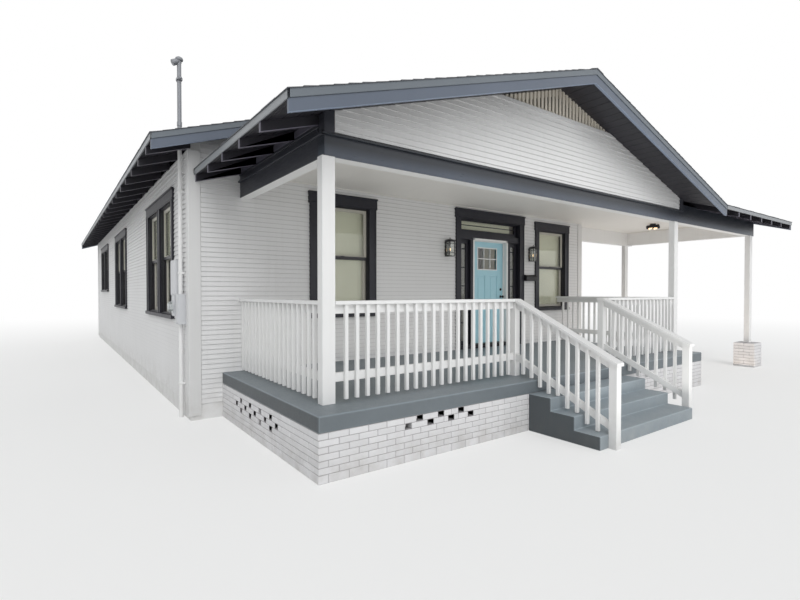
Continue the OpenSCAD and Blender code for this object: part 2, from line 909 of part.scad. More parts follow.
module gable_vent() {
    vent_half = (porch_under(0) - vent_z) / porch_slope;
    rail = 38;
    back = beam_front + gable_t;
    slat_face = beam_front + 12;
    rail_face = slat_face + 20;
    slats = floor(vent_half / slat_pitch);
    color(slat_tan) {
        intersection() {
            along_y([[-vent_half, vent_z], [vent_half, vent_z], [0, porch_under(0)]], slat_face, back);
            union() {
                for (n = [-slats : slats])
                    block([n * slat_pitch - slat_w / 2, slat_face, vent_z],
                          [n * slat_pitch + slat_w / 2, rail_face, porch_under(0)]);
                block([-vent_half, rail_face, vent_z], [vent_half, back, vent_z + rail]);
                for (side = [0, 1]) mirror([side, 0, 0])
                    along_y([
                        [-vent_half, vent_z], [0, porch_under(0)],
                        [0, porch_under(0) - 2 * rail], [-vent_half, vent_z - 2 * rail]
                    ], rail_face, back);
            }
        }
    }
}

module carport_gable() {
    color(white)
        along_x([
            [beam_front + beam_t, porch_foot_z + seat],
            [beam_front + beam_t, carport_under(beam_front + beam_t)],
            [carport_mid, carport_under(carport_mid)],
            [carport_rear - beam_t, carport_under(beam_front + beam_t)],
            [carport_rear - beam_t, porch_foot_z + seat]
        ], carport_post_x + beam_t / 2 - gable_t, carport_post_x + beam_t / 2);
}

// Railings

// Straight railing along +x from x = 0 to x = length, its outer side at -y
module railing(length) {
    count = ceil(length / baluster_pitch) - 1;
    step = length / (count + 1);
    block([0, -cap_w / 2, rail_top - cap_t], [length, cap_w / 2, rail_top]);
    block([0, -rail_t / 2, rail_top - cap_t - rail_d], [length, rail_t / 2, rail_top - cap_t]);
    block([0, -rail_t / 2, slab_z + low_rail], [length, rail_t / 2, slab_z + low_rail + rail_d]);
    for (n = [1 : count])
        block([n * step - baluster / 2, -rail_t / 2 - baluster, slab_z + baluster_gap],
              [n * step + baluster / 2, -rail_t / 2, rail_top - cap_t]);
}

module railing_left() {
    start = post_y + post_d / 2;
    color(white) translate([left_post_x, front_y, 0]) rotate([0, 0, -90])
        railing(front_y - start);
}

module railing_right() {
    start = post_y + post_d / 2;
    color(white) translate([right_post_x, start, 0]) rotate([0, 0, 90])
        railing(front_y - start);
}

// Room that the cap of the stair rail at x takes out of a front railing's cap
module cap_room(x) {
    block([x - cap_w / 2, post_y - cap_w, rail_top - cap_t], [x + cap_w / 2, post_y + cap_w, rail_top + lap]);
}

module railing_front_left() {
    start = left_post_x + post_w / 2;
    color(white) difference() {
        translate([start, post_y, 0]) railing(left_rail_x - newel_w / 2 - start);
        cap_room(left_rail_x);
    }
}

module railing_front_right() {
    start = right_rail_x + newel_w / 2;
    color(white) difference() {
        translate([start, post_y, 0]) railing(right_post_x - post_w / 2 - start);
        cap_room(right_rail_x);
    }
}

// Sloped board along -y from the upper newel, its top under the sloped cap by drop
module sloped_board(x0, x1, y_end, drop, depth) {
    y0 = post_y - newel_w / 2;
    fall = (y0 - y_end) * rail_slope;
    along_x([
        [y0, rail_top - drop], [y_end, rail_top - drop - fall],
        [y_end, rail_top - drop - fall - depth], [y0, rail_top - drop - depth]
    ], x0, x1);
}

// Handrail of the steps at x, down to a newel that stands on the ground at y_end
module stair_rail(x, y_end, outer) {
    y0 = post_y - newel_w / 2;
    near = y_end + newel_w / 2;
    far = y_end - newel_w / 2;
    run = y0 - near;
    newel_top = rail_top - cap_t + lap;
    count = ceil(run / baluster_pitch) - 1;
    low_drop = rail_h - low_rail - rail_d;
    post(x, post_y, slab_z, rail_top - cap_t, newel_w);
    along_x([
        [far, 0], [near, 0], [near, newel_top - run * rail_slope], [far, newel_top - (y0 - far) * rail_slope]
    ], x - newel_w / 2, x + newel_w / 2);
    block([x - cap_w / 2, post_y - newel_w / 2, rail_top - cap_t],
          [x + cap_w / 2, post_y + newel_w / 2, rail_top]);
    sloped_board(x - cap_w / 2, x + cap_w / 2, far - edge_set, 0, cap_t);
    sloped_board(x - rail_t / 2, x + rail_t / 2, near - lap, cap_t, rail_d);
    sloped_board(x - rail_t / 2, x + rail_t / 2, near - lap, low_drop, rail_d);
    side = x + outer * (rail_t + baluster) / 2;
    for (n = [1 : count]) {
        y = y0 - n * run / (count + 1);
        fall = (y0 - y) * rail_slope;
        top = rail_top - cap_t + baluster * rail_slope - fall;
        foot = max(slab_z + stair_gap - fall, step_z(y + baluster / 2) + toe_gap);
        block([side - baluster / 2, y - baluster / 2, foot],
              [side + baluster / 2, y + baluster / 2, top]);
    }
}

module stair_rail_left() {
    color(white) stair_rail(left_rail_x, step_front - newel_w / 2, -1);
}

module stair_rail_right() {
    color(white) stair_rail(right_rail_x, step_front + newel_w / 2 + right_newel_set, 1);
}

// Windows

// Rectangular frame in x and z with bars of width bar, from y0 to y1
module frame_ring(x0, x1, z0, z1, bar, y0, y1) {
    difference() {
        block([x0, y0, z0], [x1, y1, z1]);
        block([x0 + bar, y0 - lap, z0 + bar], [x1 - bar, y1 + lap, z1 - bar]);
    }
}

// Lining and the two sashes of one opening, its middle at x = 0
module sashes(z0, z1) {
    left = -win_w / 2;
    right = win_w / 2;
    meet = (z0 + z1) / 2 + meet_rise;
    sash_left = left + liner_t;
    sash_right = right - liner_t;
    low_y = sash_y + sash_t;
    frame_ring(left, right, z0, z1, liner_t, front_y, front_in);
    frame_ring(sash_left, sash_right, meet - sash_w / 2, z1 - liner_t, sash_w, sash_y, low_y);
    frame_ring(sash_left, sash_right, z0 + liner_t, meet + sash_w / 2, sash_w, low_y, low_y + sash_t);
}

// Panes of one opening
module panes(z0, z1) {
    left = -win_w / 2 + liner_t + sash_w;
    right = -left;
    meet = (z0 + z1) / 2 + meet_rise;
    upper = sash_y + (sash_t - pane_t) / 2;
    lower = upper + sash_t;
    block([left, upper, meet + sash_w / 2], [right, upper + pane_t, z1 - liner_t - sash_w]);
    block([left, lower, z0 + liner_t + sash_w], [right, lower + pane_t, meet - sash_w / 2]);
}

// Casing round openings that span x0 to x1, with an eared head and a sill
module casing(x0, x1, z0, z1) {
    left = x0 - casing_w;
    right = x1 + casing_w;
    sill_ear = head_ear / 2;
    block([left, front_y - casing_t, z0 - sill_t], [x0 + reveal, front_y, z1]);
    block([x1 - reveal, front_y - casing_t, z0 - sill_t], [right, front_y, z1]);
    block([left - head_ear, front_y - casing_t - head_out, z1 - reveal],
          [right + head_ear, front_y, z1 + head_h]);
    block([left - sill_ear, front_y - sill_out, z0 - sill_t], [right + sill_ear, front_y, z0 + reveal]);
}

module single_window(z0, z1) {
    casing(-win_w / 2, win_w / 2, z0, z1);
    sashes(z0, z1);
}

module window_pair(z0, z1) {
    outer = pair_step / 2 + win_w / 2;
    casing(-outer, outer, z0, z1);
    block([-mullion_w / 2 - reveal, front_y - casing_t, z0], [mullion_w / 2 + reveal, front_y, z1]);
    for (side = [-1, 1]) translate([side * pair_step / 2, 0, 0]) sashes(z0, z1);
}

// Places children of the front, side and rear windows
module front_places() {
    for (x = [front_win_left_x, front_win_right_x]) translate([x, 0, 0]) children();
}
module rear_places() {
    for (x = rear_wins)
        translate([x, rear_y - front_in, 0]) rotate([0, 0, 180]) children();
}
module left_place(y) {
    translate([-half_w + front_in, y, 0]) rotate([0, 0, -90]) children();
}
module right_place(y) {
    mirror([1, 0, 0]) left_place(y) children();
}

module window_frames() {
    color(charcoal) {
        front_places() single_window(win_z, win_top);
        rear_places() single_window(win_z, win_top);
        for (pair = side_pairs) {
            left_place(pair[0]) window_pair(pair[1], win_top);
            right_place(pair[0]) window_pair(pair[1], win_top);
        }
    }
}

module window_glass() {
    color(glass_tint) {
        front_places() panes(win_z, win_top);
        rear_places() panes(win_z, win_top);
        for (pair = side_pairs, side = [-1, 1]) {
            left_place(pair[0]) translate([side * pair_step / 2, 0, 0]) panes(pair[1], win_top);
            right_place(pair[0]) translate([side * pair_step / 2, 0, 0]) panes(pair[1], win_top);
        }
        transom_panes();
    }
}

// Door, side lights and transom

module transom_panes() {
    y0 = light_y + (light_t - pane_t) / 2;
    inset = liner_t + light_frame;
    block([door_left + inset, y0, transom_z + light_frame],
          [door_right - inset, y0 + pane_t, gable_z - liner_t - transom_rail]);
    left_span = [door_left + inset, side_left - light_frame];
    right_span = [side_right + light_frame, door_right - inset];
    for (span = [left_span, right_span])
        block([span[0], y0, floor_z + threshold_h + light_frame],
              [span[1], y0 + pane_t, door_head - light_frame]);
}

// Recess on both faces of a fixed light, and the hole for its pane under a top rail
module light_cut(x0, x1, z0, z1, rail) {
    block([x0, front_y - lap, z0], [x1, light_y, z1]);
    block([x0, light_y + light_t, z0], [x1, front_in + lap, z1]);
    block([x0 + light_frame, front_y - lap, z0 + light_frame],
          [x1 - light_frame, front_in + lap, z1 - rail]);
}

module door_frame() {
    z0 = floor_z + threshold_h;
    casing_left = door_left - casing_w;
    casing_right = door_right + casing_w;
    casing_y = front_y - casing_t;
    color(charcoal) {
        block([casing_left, casing_y, slab_z], [door_left + reveal, front_y, gable_z]);
        block([door_right - reveal, casing_y, slab_z], [casing_right, front_y, gable_z]);
        block([casing_left - head_ear, casing_y - head_out, gable_z - reveal],
              [casing_right + head_ear, front_y, gable_z + head_h]);
        difference() {
            block([door_left, front_y, floor_z], [door_right, front_in, gable_z]);
            block([leaf_left - leaf_gap, front_y - lap, z0],
                  [leaf_right + leaf_gap, front_in + lap, door_head]);
            light_cut(door_left + liner_t, door_right - liner_t, transom_z, gable_z - liner_t, transom_rail);
            light_cut(door_left + liner_t, side_left, z0, door_head, light_frame);
            light_cut(side_right, door_right - liner_t, z0, door_head, light_frame);
        }
    }
}

// Fixed half of each hinge: plate on the frame, two knuckles and the pin
module door_hinges() {
    third = hinge_l / 3;
    knuckle_l = third - knuckle_gap / 2;
    plate_left = hinge_x - leaf_gap - jamb_w;
    plate_right = hinge_x - knuckle_r - knuckle_gap;
    color(black)
        for (z = hinge_zs) {
            block([plate_left, front_in, z], [plate_right, front_in + plate_t, z + hinge_l]);
            for (foot = [z, z + hinge_l - knuckle_l]) {
                translate([hinge_x, hinge_y, foot]) cylinder(h = knuckle_l, r = knuckle_r);
                block([plate_right - lap, front_in, foot],
                      [hinge_x - knuckle_r / 2, front_in + plate_t, foot + knuckle_l]);
            }
            translate([hinge_x, hinge_y, z]) cylinder(h = hinge_l, r = pin_r - pin_clear);
        }
}

// Moving half of each hinge, its top plate screwed to the leaf
module leaf_knuckle(z) {
    wing = 34;
    foot = z + hinge_l / 3 + knuckle_gap / 2;
    knuckle_l = hinge_l / 3 - knuckle_gap;
    difference() {
        union() {
            translate([hinge_x, hinge_y, foot]) cylinder(h = knuckle_l, r = knuckle_r);
            block([hinge_x, front_in, foot], [hinge_x + wing, front_in + plate_t, foot + knuckle_l]);
        }
        translate([hinge_x, hinge_y, z]) cylinder(h = hinge_l, r = pin_r);
    }
}

// Sunk panel in both faces of the leaf, from x0 to x1
module leaf_panel(x0, x1, z0, z1) {
    block([x0, leaf_y - lap, z0], [x1, leaf_y + panel_sink, z1]);
    block([x0, front_in - panel_sink, z0], [x1, front_in + lap, z1]);
}

module front_door() {
    glass_x0 = leaf_left + (leaf_w - leaf_glass_w) / 2;
    glass_x1 = glass_x0 + leaf_glass_w;
    glass_z1 = leaf_top - leaf_glass_top;
    glass_z0 = glass_z1 - leaf_glass_h;
    panel_w = (leaf_w - panel_bar) / 2 - leaf_stile;
    color(teal) {
        difference() {
            block([leaf_left, leaf_y, leaf_z], [leaf_right, front_in, leaf_top]);
            block([glass_x0, leaf_y - lap, glass_z0], [glass_x1, front_in + lap, glass_z1]);
            for (x = [leaf_left + leaf_stile, leaf_right - leaf_stile - panel_w])
                leaf_panel(x, x + panel_w, leaf_z + leaf_foot, glass_z0 - leaf_rail);
        }
        for (z = hinge_zs) leaf_knuckle(z);
    }
}

module door_glass() {
    glass_x0 = leaf_left + (leaf_w - leaf_glass_w) / 2;
    glass_z1 = leaf_top - leaf_glass_top;
    y0 = leaf_y + (leaf_t - pane_t) / 2;
    color(glass_tint)
        block([glass_x0, y0, glass_z1 - leaf_glass_h], [glass_x0 + leaf_glass_w, y0 + pane_t, glass_z1]);
}

// Lock set near the leaf's free edge, on both faces
module door_handle() {
    x = leaf_right - lock_set;
    bolt_z = grip_z + 150;
    rose_r = 28;
    rose_t = 10;
    stem_r = 10;
    knob_out = 60;
    color(black)
        for (face = [[leaf_y, -1], [front_in, 1]]) {
            y = face[0];
            dir = face[1];
            for (z = [grip_z, bolt_z])
                translate([x, y, z]) rotate([-90 * dir, 0, 0]) cylinder(h = rose_t, r = rose_r);
            translate([x, y, grip_z]) rotate([-90 * dir, 0, 0]) cylinder(h = knob_out, r = stem_r);
            translate([x, y + dir * knob_out, grip_z]) sphere(r = rose_r);
        }
}

// Fittings

// Pyramid with a square foot of the given side, its middle at x, y
module pyramid(x, y, z, side, height) {
    half = side / 2;
    intersection() {
        along_y([[x - half, z], [x + half, z], [x, z + height]], y - half, y + half);
        along_x([[y - half, z], [y + half, z], [y, z + height]], x - half, x + half);
    }
}

// Lantern with an open cage, held out from the wall by an arm
module lantern(x) {
    side = 130;
    bar = 12;
    plate = 14;
    plate_w = 100;
    roof_h = 60;
    cage_h = 280;
    candle_r = 16;
    y = front_y - plate - side / 2 - 20;
    z0 = lantern_z - cage_h / 2;
    z1 = lantern_z + cage_h / 2;
    inset = (side - bar) / 2;
    block([x - plate_w / 2, front_y - plate, z0], [x + plate_w / 2, front_y, z1]);
    block([x - bar, y, z1 - bar], [x + bar, front_y - plate, z1 + bar]);
    post(x, y, z0, z0 + bar, side);
    post(x, y, z1 - bar, z1, side);
    pyramid(x, y, z1, side + bar, roof_h);
    for (dx = [-inset, inset], dy = [-inset, inset]) post(x + dx, y + dy, z0, z1, bar);
    translate([x, y, z0]) cylinder(h = cage_h, r = candle_r);
}

module lanterns() {
    reach = casing_w + head_ear + lantern_gap;
    color(black) {
        lantern(door_left - reach);
        lantern(door_right + reach);
    }
}

module mailbox() {
    gap = 8;
    length = 362;
    deep = 100;
    front_h = 85;
    x = door_right + casing_w + gap;
    color(black)
        along_x([
            [front_y, mailbox_z], [front_y - deep, mailbox_z], [front_y - deep, mailbox_z + front_h],
            [front_y - deep / 2, mailbox_z + front_h * 1.5], [front_y, mailbox_z + front_h * 1.6]
        ], x, x + length);
}

// Open round frame under the carport's ceiling, with a cross that holds the lamps
module ceiling_light() {
    ring_r = 150;
    ring_t = 8;
    ring_h = 60;
    rose_r = 65;
    rose_h = 25;
    arm = 12;
    ring_z = ceiling_z - rose_h - 2 * arm - ring_h;
    translate([ceiling_light_x, front_y - ceiling_light_y, 0]) color(black) {
        translate([0, 0, ceiling_z - rose_h]) cylinder(h = rose_h, r = rose_r);
        block([-arm, -ring_r, ring_z + ring_h - lap], [arm, ring_r, ceiling_z - rose_h]);
        block([-ring_r, -arm, ring_z + ring_h - lap], [ring_r, arm, ceiling_z - rose_h]);
        translate([0, 0, ring_z]) difference() {
            cylinder(h = ring_h, r = ring_r);
            translate([0, 0, -lap]) cylinder(h = ring_h + 2 * lap, r = ring_r - ring_t);
        }
    }
}

// Box on the left wall from y0, z0, with the given width and height
module wall_box(y0, z0, width, height) {
    block([-half_w - box_deep, y0, z0], [-half_w, y0 + width, z0 + height]);
}

// Breaker box, meter and lower box with the mast that carries the service
module electric_service() {
    breaker_y = mast_y + mast_box_w / 2 - 20;
    breaker_z = floor_z + breaker_rise;
    low_y = breaker_y - 10 - mast_box_w;
    low_z = breaker_z + 20 - mast_box_h;
    meter_w = 2 * meter_r + 10;
    meter_box_h = 290;
    meter_y = breaker_y + (breaker_w - meter_w) / 2;
    meter_z = breaker_z - meter_box_h + meter_r + 45;
    meter_h = 60;
    nipple = 40;
    head_r = 52;
    color(box_gray) {
        wall_box(breaker_y, breaker_z, breaker_w, breaker_h);
        wall_box(low_y, low_z, mast_box_w, mast_box_h);
        wall_box(meter_y, breaker_z - meter_box_h, meter_w, meter_box_h + lap);
        translate([-half_w - box_deep / 2, low_y + mast_box_w - lap, low_z + mast_box_h - nipple / 2 - lap])
            rotate([-90, 0, 0]) cylinder(h = 10 + 2 * lap, r = nipple / 2);
        translate([mast_x, mast_y, 0]) cylinder(h = mast_z, r = mast_r);
        translate([mast_x, mast_y, mast_z]) sphere(r = head_r);
        translate([mast_x, mast_y, mast_z]) rotate([0, -120, 0]) cylinder(h = 2 * head_r, r = head_r * 0.8);
        translate([-half_w - box_deep, meter_y + meter_w / 2, meter_z])
            rotate([0, -90, 0]) cylinder(h = meter_h, r = meter_r);
    }
}

front_base();
front_wall_left();
front_wall_right();
front_gable();
left_wall();
right_wall();
rear_wall();
house_floor();
house_ceiling();
corner_boards();
main_roof_left();
main_roof_right();
main_rafters_left();
main_rafters_right();
main_barge_boards();
porch_slab();
porch_skirt();
front_steps();
porch_posts();
carport_posts();
carport_piers();
front_beam();
left_beam();
carport_side_beam();
carport_rear_beam();
porch_ceiling();
porch_gable();
gable_vent();
porch_roof_left();
porch_roof_right();
porch_rafters();
porch_barge_boards();
carport_roof();
carport_rafters();
carport_gable();
railing_left();
railing_front_left();
railing_front_right();
railing_right();
stair_rail_left();
stair_rail_right();
window_frames();
window_glass();
door_frame();
door_hinges();
front_door();
door_glass();
door_handle();
lanterns();
mailbox();
ceiling_light();
electric_service();
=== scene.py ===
import math
import random

import bmesh
import bpy
from mathutils import Matrix, Vector


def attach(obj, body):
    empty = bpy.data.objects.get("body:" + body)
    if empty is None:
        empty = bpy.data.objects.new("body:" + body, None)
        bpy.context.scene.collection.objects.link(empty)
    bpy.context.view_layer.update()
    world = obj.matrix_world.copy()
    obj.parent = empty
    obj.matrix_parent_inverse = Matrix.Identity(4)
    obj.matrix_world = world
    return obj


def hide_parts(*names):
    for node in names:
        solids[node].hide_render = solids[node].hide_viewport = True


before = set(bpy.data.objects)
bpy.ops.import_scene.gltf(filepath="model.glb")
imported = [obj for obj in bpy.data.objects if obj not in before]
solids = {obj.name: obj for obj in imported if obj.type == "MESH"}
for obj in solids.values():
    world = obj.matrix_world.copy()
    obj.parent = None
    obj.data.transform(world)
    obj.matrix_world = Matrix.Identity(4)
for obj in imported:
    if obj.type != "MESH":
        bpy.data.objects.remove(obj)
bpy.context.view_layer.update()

# View, light and ground.
# The house is seen from the street at eye height, from left of the porch.
# It stands on plain pale ground in soft even daylight.
view = bpy.data.cameras.new("street_view")
view.lens, view.sensor_width, view.clip_end = 21.45, 36, 400
camera = bpy.data.objects.new("street_view", view)
camera.location = (-5.861, -6.774, 1.695)
camera.rotation_euler = (math.radians(89.14), 0, math.radians(-36.13))
bpy.context.collection.objects.link(camera)
bpy.context.scene.camera = camera
bpy.context.scene.view_settings.view_transform = "Standard"


def feed(tree, node, *given, **values):
    """Sets sockets, in order or by name with _ for a space, to values or to other nodes' outputs."""
    for key, value in [*enumerate(given), *values.items()]:
        socket = node.inputs[key.replace("_", " ") if isinstance(key, str) else key]
        if isinstance(value, bpy.types.NodeSocket):
            tree.links.new(value, socket)
        elif value is not None:
            socket.default_value = value


def add(tree, kind, *given, out=0, **values):
    """Adds a shader node; names in small letters are settings, the rest sockets. Gives an output."""
    made = tree.nodes.new("ShaderNode" + kind)
    for key in [key for key in values if key.islower()]:
        setattr(made, key, values.pop(key))
    feed(tree, made, *given, **values)
    return made.outputs[out] if made.outputs else made


def cleared(holder):
    """An empty node tree for a world or a material."""
    holder.use_nodes = True
    holder.node_tree.nodes.clear()
    return holder.node_tree


daylight = bpy.data.worlds.new("daylight")
bpy.context.scene.world = daylight
tree = cleared(daylight)
rays = add(tree, "LightPath").node.outputs
seen = add(tree, "Math", rays["Is Camera Ray"], rays["Is Glossy Ray"], operation="MAXIMUM")
plain = add(tree, "Math", seen, rays["Is Transmission Ray"], operation="MAXIMUM")
ambient = add(tree, "Background", (0.97, 0.985, 1.0, 1), 0.62)
backdrop = add(tree, "Background", (1, 1, 1, 1), 1.0)
add(tree, "OutputWorld", add(tree, "MixShader", plain, ambient, backdrop))


def lamp(name, kind, energy, at, turn, **values):
    """A light at a place, turned by three angles."""
    light = bpy.data.lights.new(name, kind)
    for key, value in {"energy": energy, **values}.items():
        setattr(light, key, value)
    made = bpy.data.objects.new(name, light)
    made.location = at
    made.rotation_euler = turn
    bpy.context.collection.objects.link(made)
    return made


# Broad soft suns that shine towards the porch.
for name, energy, angle, at in (("key_light", 1.0, 35, (-5, -12, 13)), ("fill_light", 0.2, 60, (9, -12, 5)),
                                ("low_light", 0.4, 60, (-5, -16, 2.4))):
    aim = (Vector((0, 0, 1)) - Vector(at)).to_track_quat("-Z", "Y").to_euler()
    lamp(name, "SUN", energy, at, aim, angle=math.radians(angle))

# Light thrown back up from the floor, the steps and the ground.
for name, power, width, depth, at, color in (
    ("porch_bounce", 17, 6.9, 2.2, (-0.1, -1.35, 0.66), (1, 0.95, 0.88)),
    ("steps_bounce", 7, 1.6, 0.9, (0.1, -4.0, 0.32), (1, 0.97, 0.92)),
    ("front_bounce", 45, 6, 1.6, (0, -5.4, 0.05), (1, 0.98, 0.95)),
    ("carport_bounce", 30, 2.6, 3.4, (5.8, -1.4, 0.04), (1, 0.86, 0.74)),
):
    glow = lamp(name, "AREA", power, at, (math.pi, 0, 0), shape="RECTANGLE", size=width, size_y=depth,
                color=color)
    glow.visible_camera = glow.visible_glossy = False


def shown(name, bm, material):
    """Puts a finished mesh in the scene."""
    mesh = bpy.data.meshes.new(name)
    bm.to_mesh(mesh)
    bm.free()
    mesh.materials.append(material)
    made = bpy.data.objects.new(name, mesh)
    bpy.context.collection.objects.link(made)
    return made


pale = bpy.data.materials.new("pale_ground")
tree = cleared(pale)
far = add(tree, "VectorMath", add(tree, "TexCoord", out="Object"), operation="LENGTH", out="Value")
fade = add(tree, "MapRange", far, 6, 34, 0.4, interpolation_type="SMOOTHSTEP")
faded = add(tree, "Math", fade, add(tree, "LightPath", out="Is Camera Ray"), operation="MULTIPLY")
matte = add(tree, "BsdfDiffuse", (0.86, 0.86, 0.85, 1))
add(tree, "OutputMaterial", add(tree, "MixShader", faded, matte, add(tree, "Emission")))
disc = bmesh.new()
bmesh.ops.create_circle(disc, cap_ends=True, segments=96, radius=160)
shown("ground", disc, pale)

# House walls.
# Framed walls of studs and boards, painted white inside, with window and door
# openings cut through them. Their outer faces carry the siding.


def new_effect(name, outputs, **inputs):
    """Starts a shader node group; gives it, its inputs by name and its end node."""
    group = bpy.data.node_groups.new(name, "ShaderNodeTree")
    for label, value in inputs.items():
        kind = "Float" if isinstance(value, float) else "Vector" if len(value) == 3 else "Color"
        socket = group.interface.new_socket(label, in_out="INPUT", socket_type="NodeSocket" + kind)
        socket.default_value = value
    for label in outputs:
        kind = "Color" if label == "Color" else "Float"
        group.interface.new_socket(label, in_out="OUTPUT", socket_type="NodeSocket" + kind)
    return group, group.nodes.new("NodeGroupInput").outputs, group.nodes.new("NodeGroupOutput")


def scaled(tree, color, amount):
    """A color made lighter or darker by a value."""
    return add(tree, "VectorMath", color, Scale=amount, operation="SCALE")


def mixed(tree, share, first, second):
    """A color between two colors."""
    return add(tree, "Mix", share, *[None] * 5, first, second, data_type="RGBA", out=2)


def level_in(tree):
    """The height of a point."""
    return add(tree, "SeparateXYZ", add(tree, "TexCoord", out="Object"), out="Z")


# Brushed paint: a slow drift of tone, brush marks drawn out along the board,
# and a sheen that changes with them.
brushed, given, end = new_effect("brushed_paint", ("Color", "Roughness", "Height"), Color=(1, 1, 1, 1),
                                 Spread=0.03, Stroke=(1, 1, 1), Sheen=0.5)
where = add(brushed, "TexCoord", out="Object")
drift = add(brushed, "TexNoise", where, Scale=0.7, Detail=3.0)
low_tone = add(brushed, "Math", 1, given["Spread"], operation="SUBTRACT")
high_tone = add(brushed, "Math", 1, given["Spread"], operation="ADD")
band = add(brushed, "MapRange", drift, 0.3, 0.7, low_tone, high_tone)
drawn = add(brushed, "Mapping", where, Scale=given["Stroke"])
marks = add(brushed, "TexNoise", drawn, Scale=70.0, Detail=4.0, Roughness=0.6)
peel = add(brushed, "TexNoise", where, Scale=420.0, Detail=1.0)
gloss = add(brushed, "MapRange", marks, 0.3, 0.7, -0.07, 0.09)
feed(brushed, end, Color=scaled(brushed, given["Color"], band),
     Roughness=add(brushed, "Math", gloss, given["Sheen"], operation="ADD"),
     Height=add(brushed, "Mix", 0.35, A=marks, B=peel, data_type="FLOAT"))

# Weathering: rain-splashed dust near the ground and faint runs down the face. A face's own shade value
# then scales its colour: above zero it is painted shade, below zero a painted highlight, on some edges wear
# too.
weathered_and_shaded, given, end = new_effect("weathering_and_painted_shade", ("Color",), Color=(1, 1, 1, 1), Dust=(0.3, 0.27, 0.23, 1),
                                   Amount=0.3, Splash=0.5)
where = add(weathered_and_shaded, "TexCoord", out="Object")
level = add(weathered_and_shaded, "MapRange", level_in(weathered_and_shaded), 0.0, given["Splash"], 1.0, 0.0)
cloud = add(weathered_and_shaded, "TexNoise", where, Scale=6.0, Detail=6.0)
patch = add(weathered_and_shaded, "MapRange", cloud, 0.35, 0.75)
low = add(weathered_and_shaded, "Math", level, patch, operation="MULTIPLY")
tall = add(weathered_and_shaded, "Mapping", where, Scale=(14.0, 14.0, 0.8))
run = add(weathered_and_shaded, "TexNoise", tall, Scale=1.0, Detail=4.0)
faint = add(weathered_and_shaded, "MapRange", run, 0.5, 0.8, To_Max=0.16)
both = add(weathered_and_shaded, "Math", low, faint, operation="ADD")
share = add(weathered_and_shaded, "Math", both, given["Amount"], operation="MULTIPLY", use_clamp=True)
shade = add(weathered_and_shaded, "Attribute", attribute_name="shade", out="Fac")
kept = add(weathered_and_shaded, "Math", 1, shade, operation="SUBTRACT")
feed(weathered_and_shaded, end, Color=scaled(weathered_and_shaded, mixed(weathered_and_shaded, share, given["Color"], given["Dust"]), kept))


def new_finish(name):
    """Starts a material; gives it, its node tree and its shader."""
    material = bpy.data.materials.new(name)
    material.use_nodes = True
    return material, material.node_tree, material.node_tree.nodes["Principled BSDF"]


def relief(tree, height, depth):
    """Surface relief from a height."""
    return add(tree, "Bump", Height=height, Strength=1.0, Distance=depth)


def paint(name, color, sheen=0.5, spread=0.03, stroke=(1, 1, 1), depth=0.0005, dust=0.25, splash=0.5,
          metallic=0.0):
    """A coat of paint over wood, masonry or metal."""
    material, tree, shader = new_finish(name)
    coat = add(tree, "Group", node_tree=brushed, Color=(*color, 1), Spread=spread, Stroke=stroke,
               Sheen=sheen).node.outputs
    worn = add(tree, "Group", node_tree=weathered_and_shaded, Color=coat["Color"], Amount=dust, Splash=splash)
    feed(tree, shader, Base_Color=worn, Metallic=metallic, Roughness=coat["Roughness"],
         Normal=relief(tree, coat["Height"], depth))
    return material


# Brush marks drawn out along an axis.
along_x, along_y, along_z = (0.1, 1.3, 1.3), (1.3, 0.1, 1.3), (1.3, 1.3, 0.1)


def coat_solid(material, *names):
    """Gives CAD nodes a finish."""
    for name in names:
        for place in solids[name].material_slots:
            place.material = material


wall_paint = paint("wall_paint", (0.74, 0.74, 0.735), sheen=0.55, spread=0.02, dust=0.3)
coat_solid(wall_paint, "front_base", "front_wall_left", "front_wall_right", "front_gable", "left_wall",
           "right_wall", "rear_wall", "house_ceiling", "porch_gable", "carport_gable")

# Siding.
# Level boards of painted wood, each lower edge standing proud of the board under it.
# They are nailed over the frame and cut round the casings, beams and porch floor.
lap, butt, feather = 0.0656, 0.014, 0.0015
# The last of these darkens the underside of every board's lower edge: painted shade.
siding_foot, siding_top, gable_top, board_length, board_gap, underside_shade = 0.213, 3.572, 5.14, 4.9, 0.0012, 0.12
pair_half, hole_foot, small_foot, hole_top = 1.167, 1.319, 1.744, 3.246
wall_face, wall_side, wall_rear, wall_end = -0.075, 4.392, 15.02, 4.258
side_start, side_end = 0.051, 14.894
floor_level, beam_low, ceiling_z = 0.608, 3.017, 3.355
beam_left, beam_right, beam_front, rear_beam_inner, beam_inner = -3.733, 7.275, -2.628, 0.26, -2.488
main_slope, porch_slope = 0.3333, 0.3097
main_ridge, porch_ridge, carport_ridge = 5.2258, 4.6744, 3.9872
deck = 0.085
main_top, porch_top = main_ridge - deck, porch_ridge - deck
carport_mid = -1.114


def placed(x, y, z=0, turn=0, axis="Z"):
    """Turns what is drawn about an axis, in degrees, and moves it to a place."""
    return Matrix.Translation((x, y, z)) @ Matrix.Rotation(math.radians(turn), 4, axis)


def trim(bm, point, normal):
    """Cuts off what lies on the normal's side of a plane and closes the cut."""
    cut = bmesh.ops.bisect_plane(bm, geom=bm.verts[:] + bm.edges[:] + bm.faces[:], dist=0.00001,
                                 plane_co=point, plane_no=normal, clear_outer=True)
    rim = [item for item in cut["geom_cut"] if isinstance(item, bmesh.types.BMEdge)]
    bmesh.ops.holes_fill(bm, edges=rim, sides=0)


def gather(bm, part, cuts=(), place=None):
    """Puts a part of a piece in place, trims it by planes and joins it to the rest."""
    if place:
        bmesh.ops.transform(part, matrix=place, verts=part.verts)
    for point, normal in cuts:
        trim(part, point, normal)
    scratch = bpy.data.meshes.new("scratch")
    part.to_mesh(scratch)
    part.free()
    bm.from_mesh(scratch)
    bpy.data.meshes.remove(scratch)


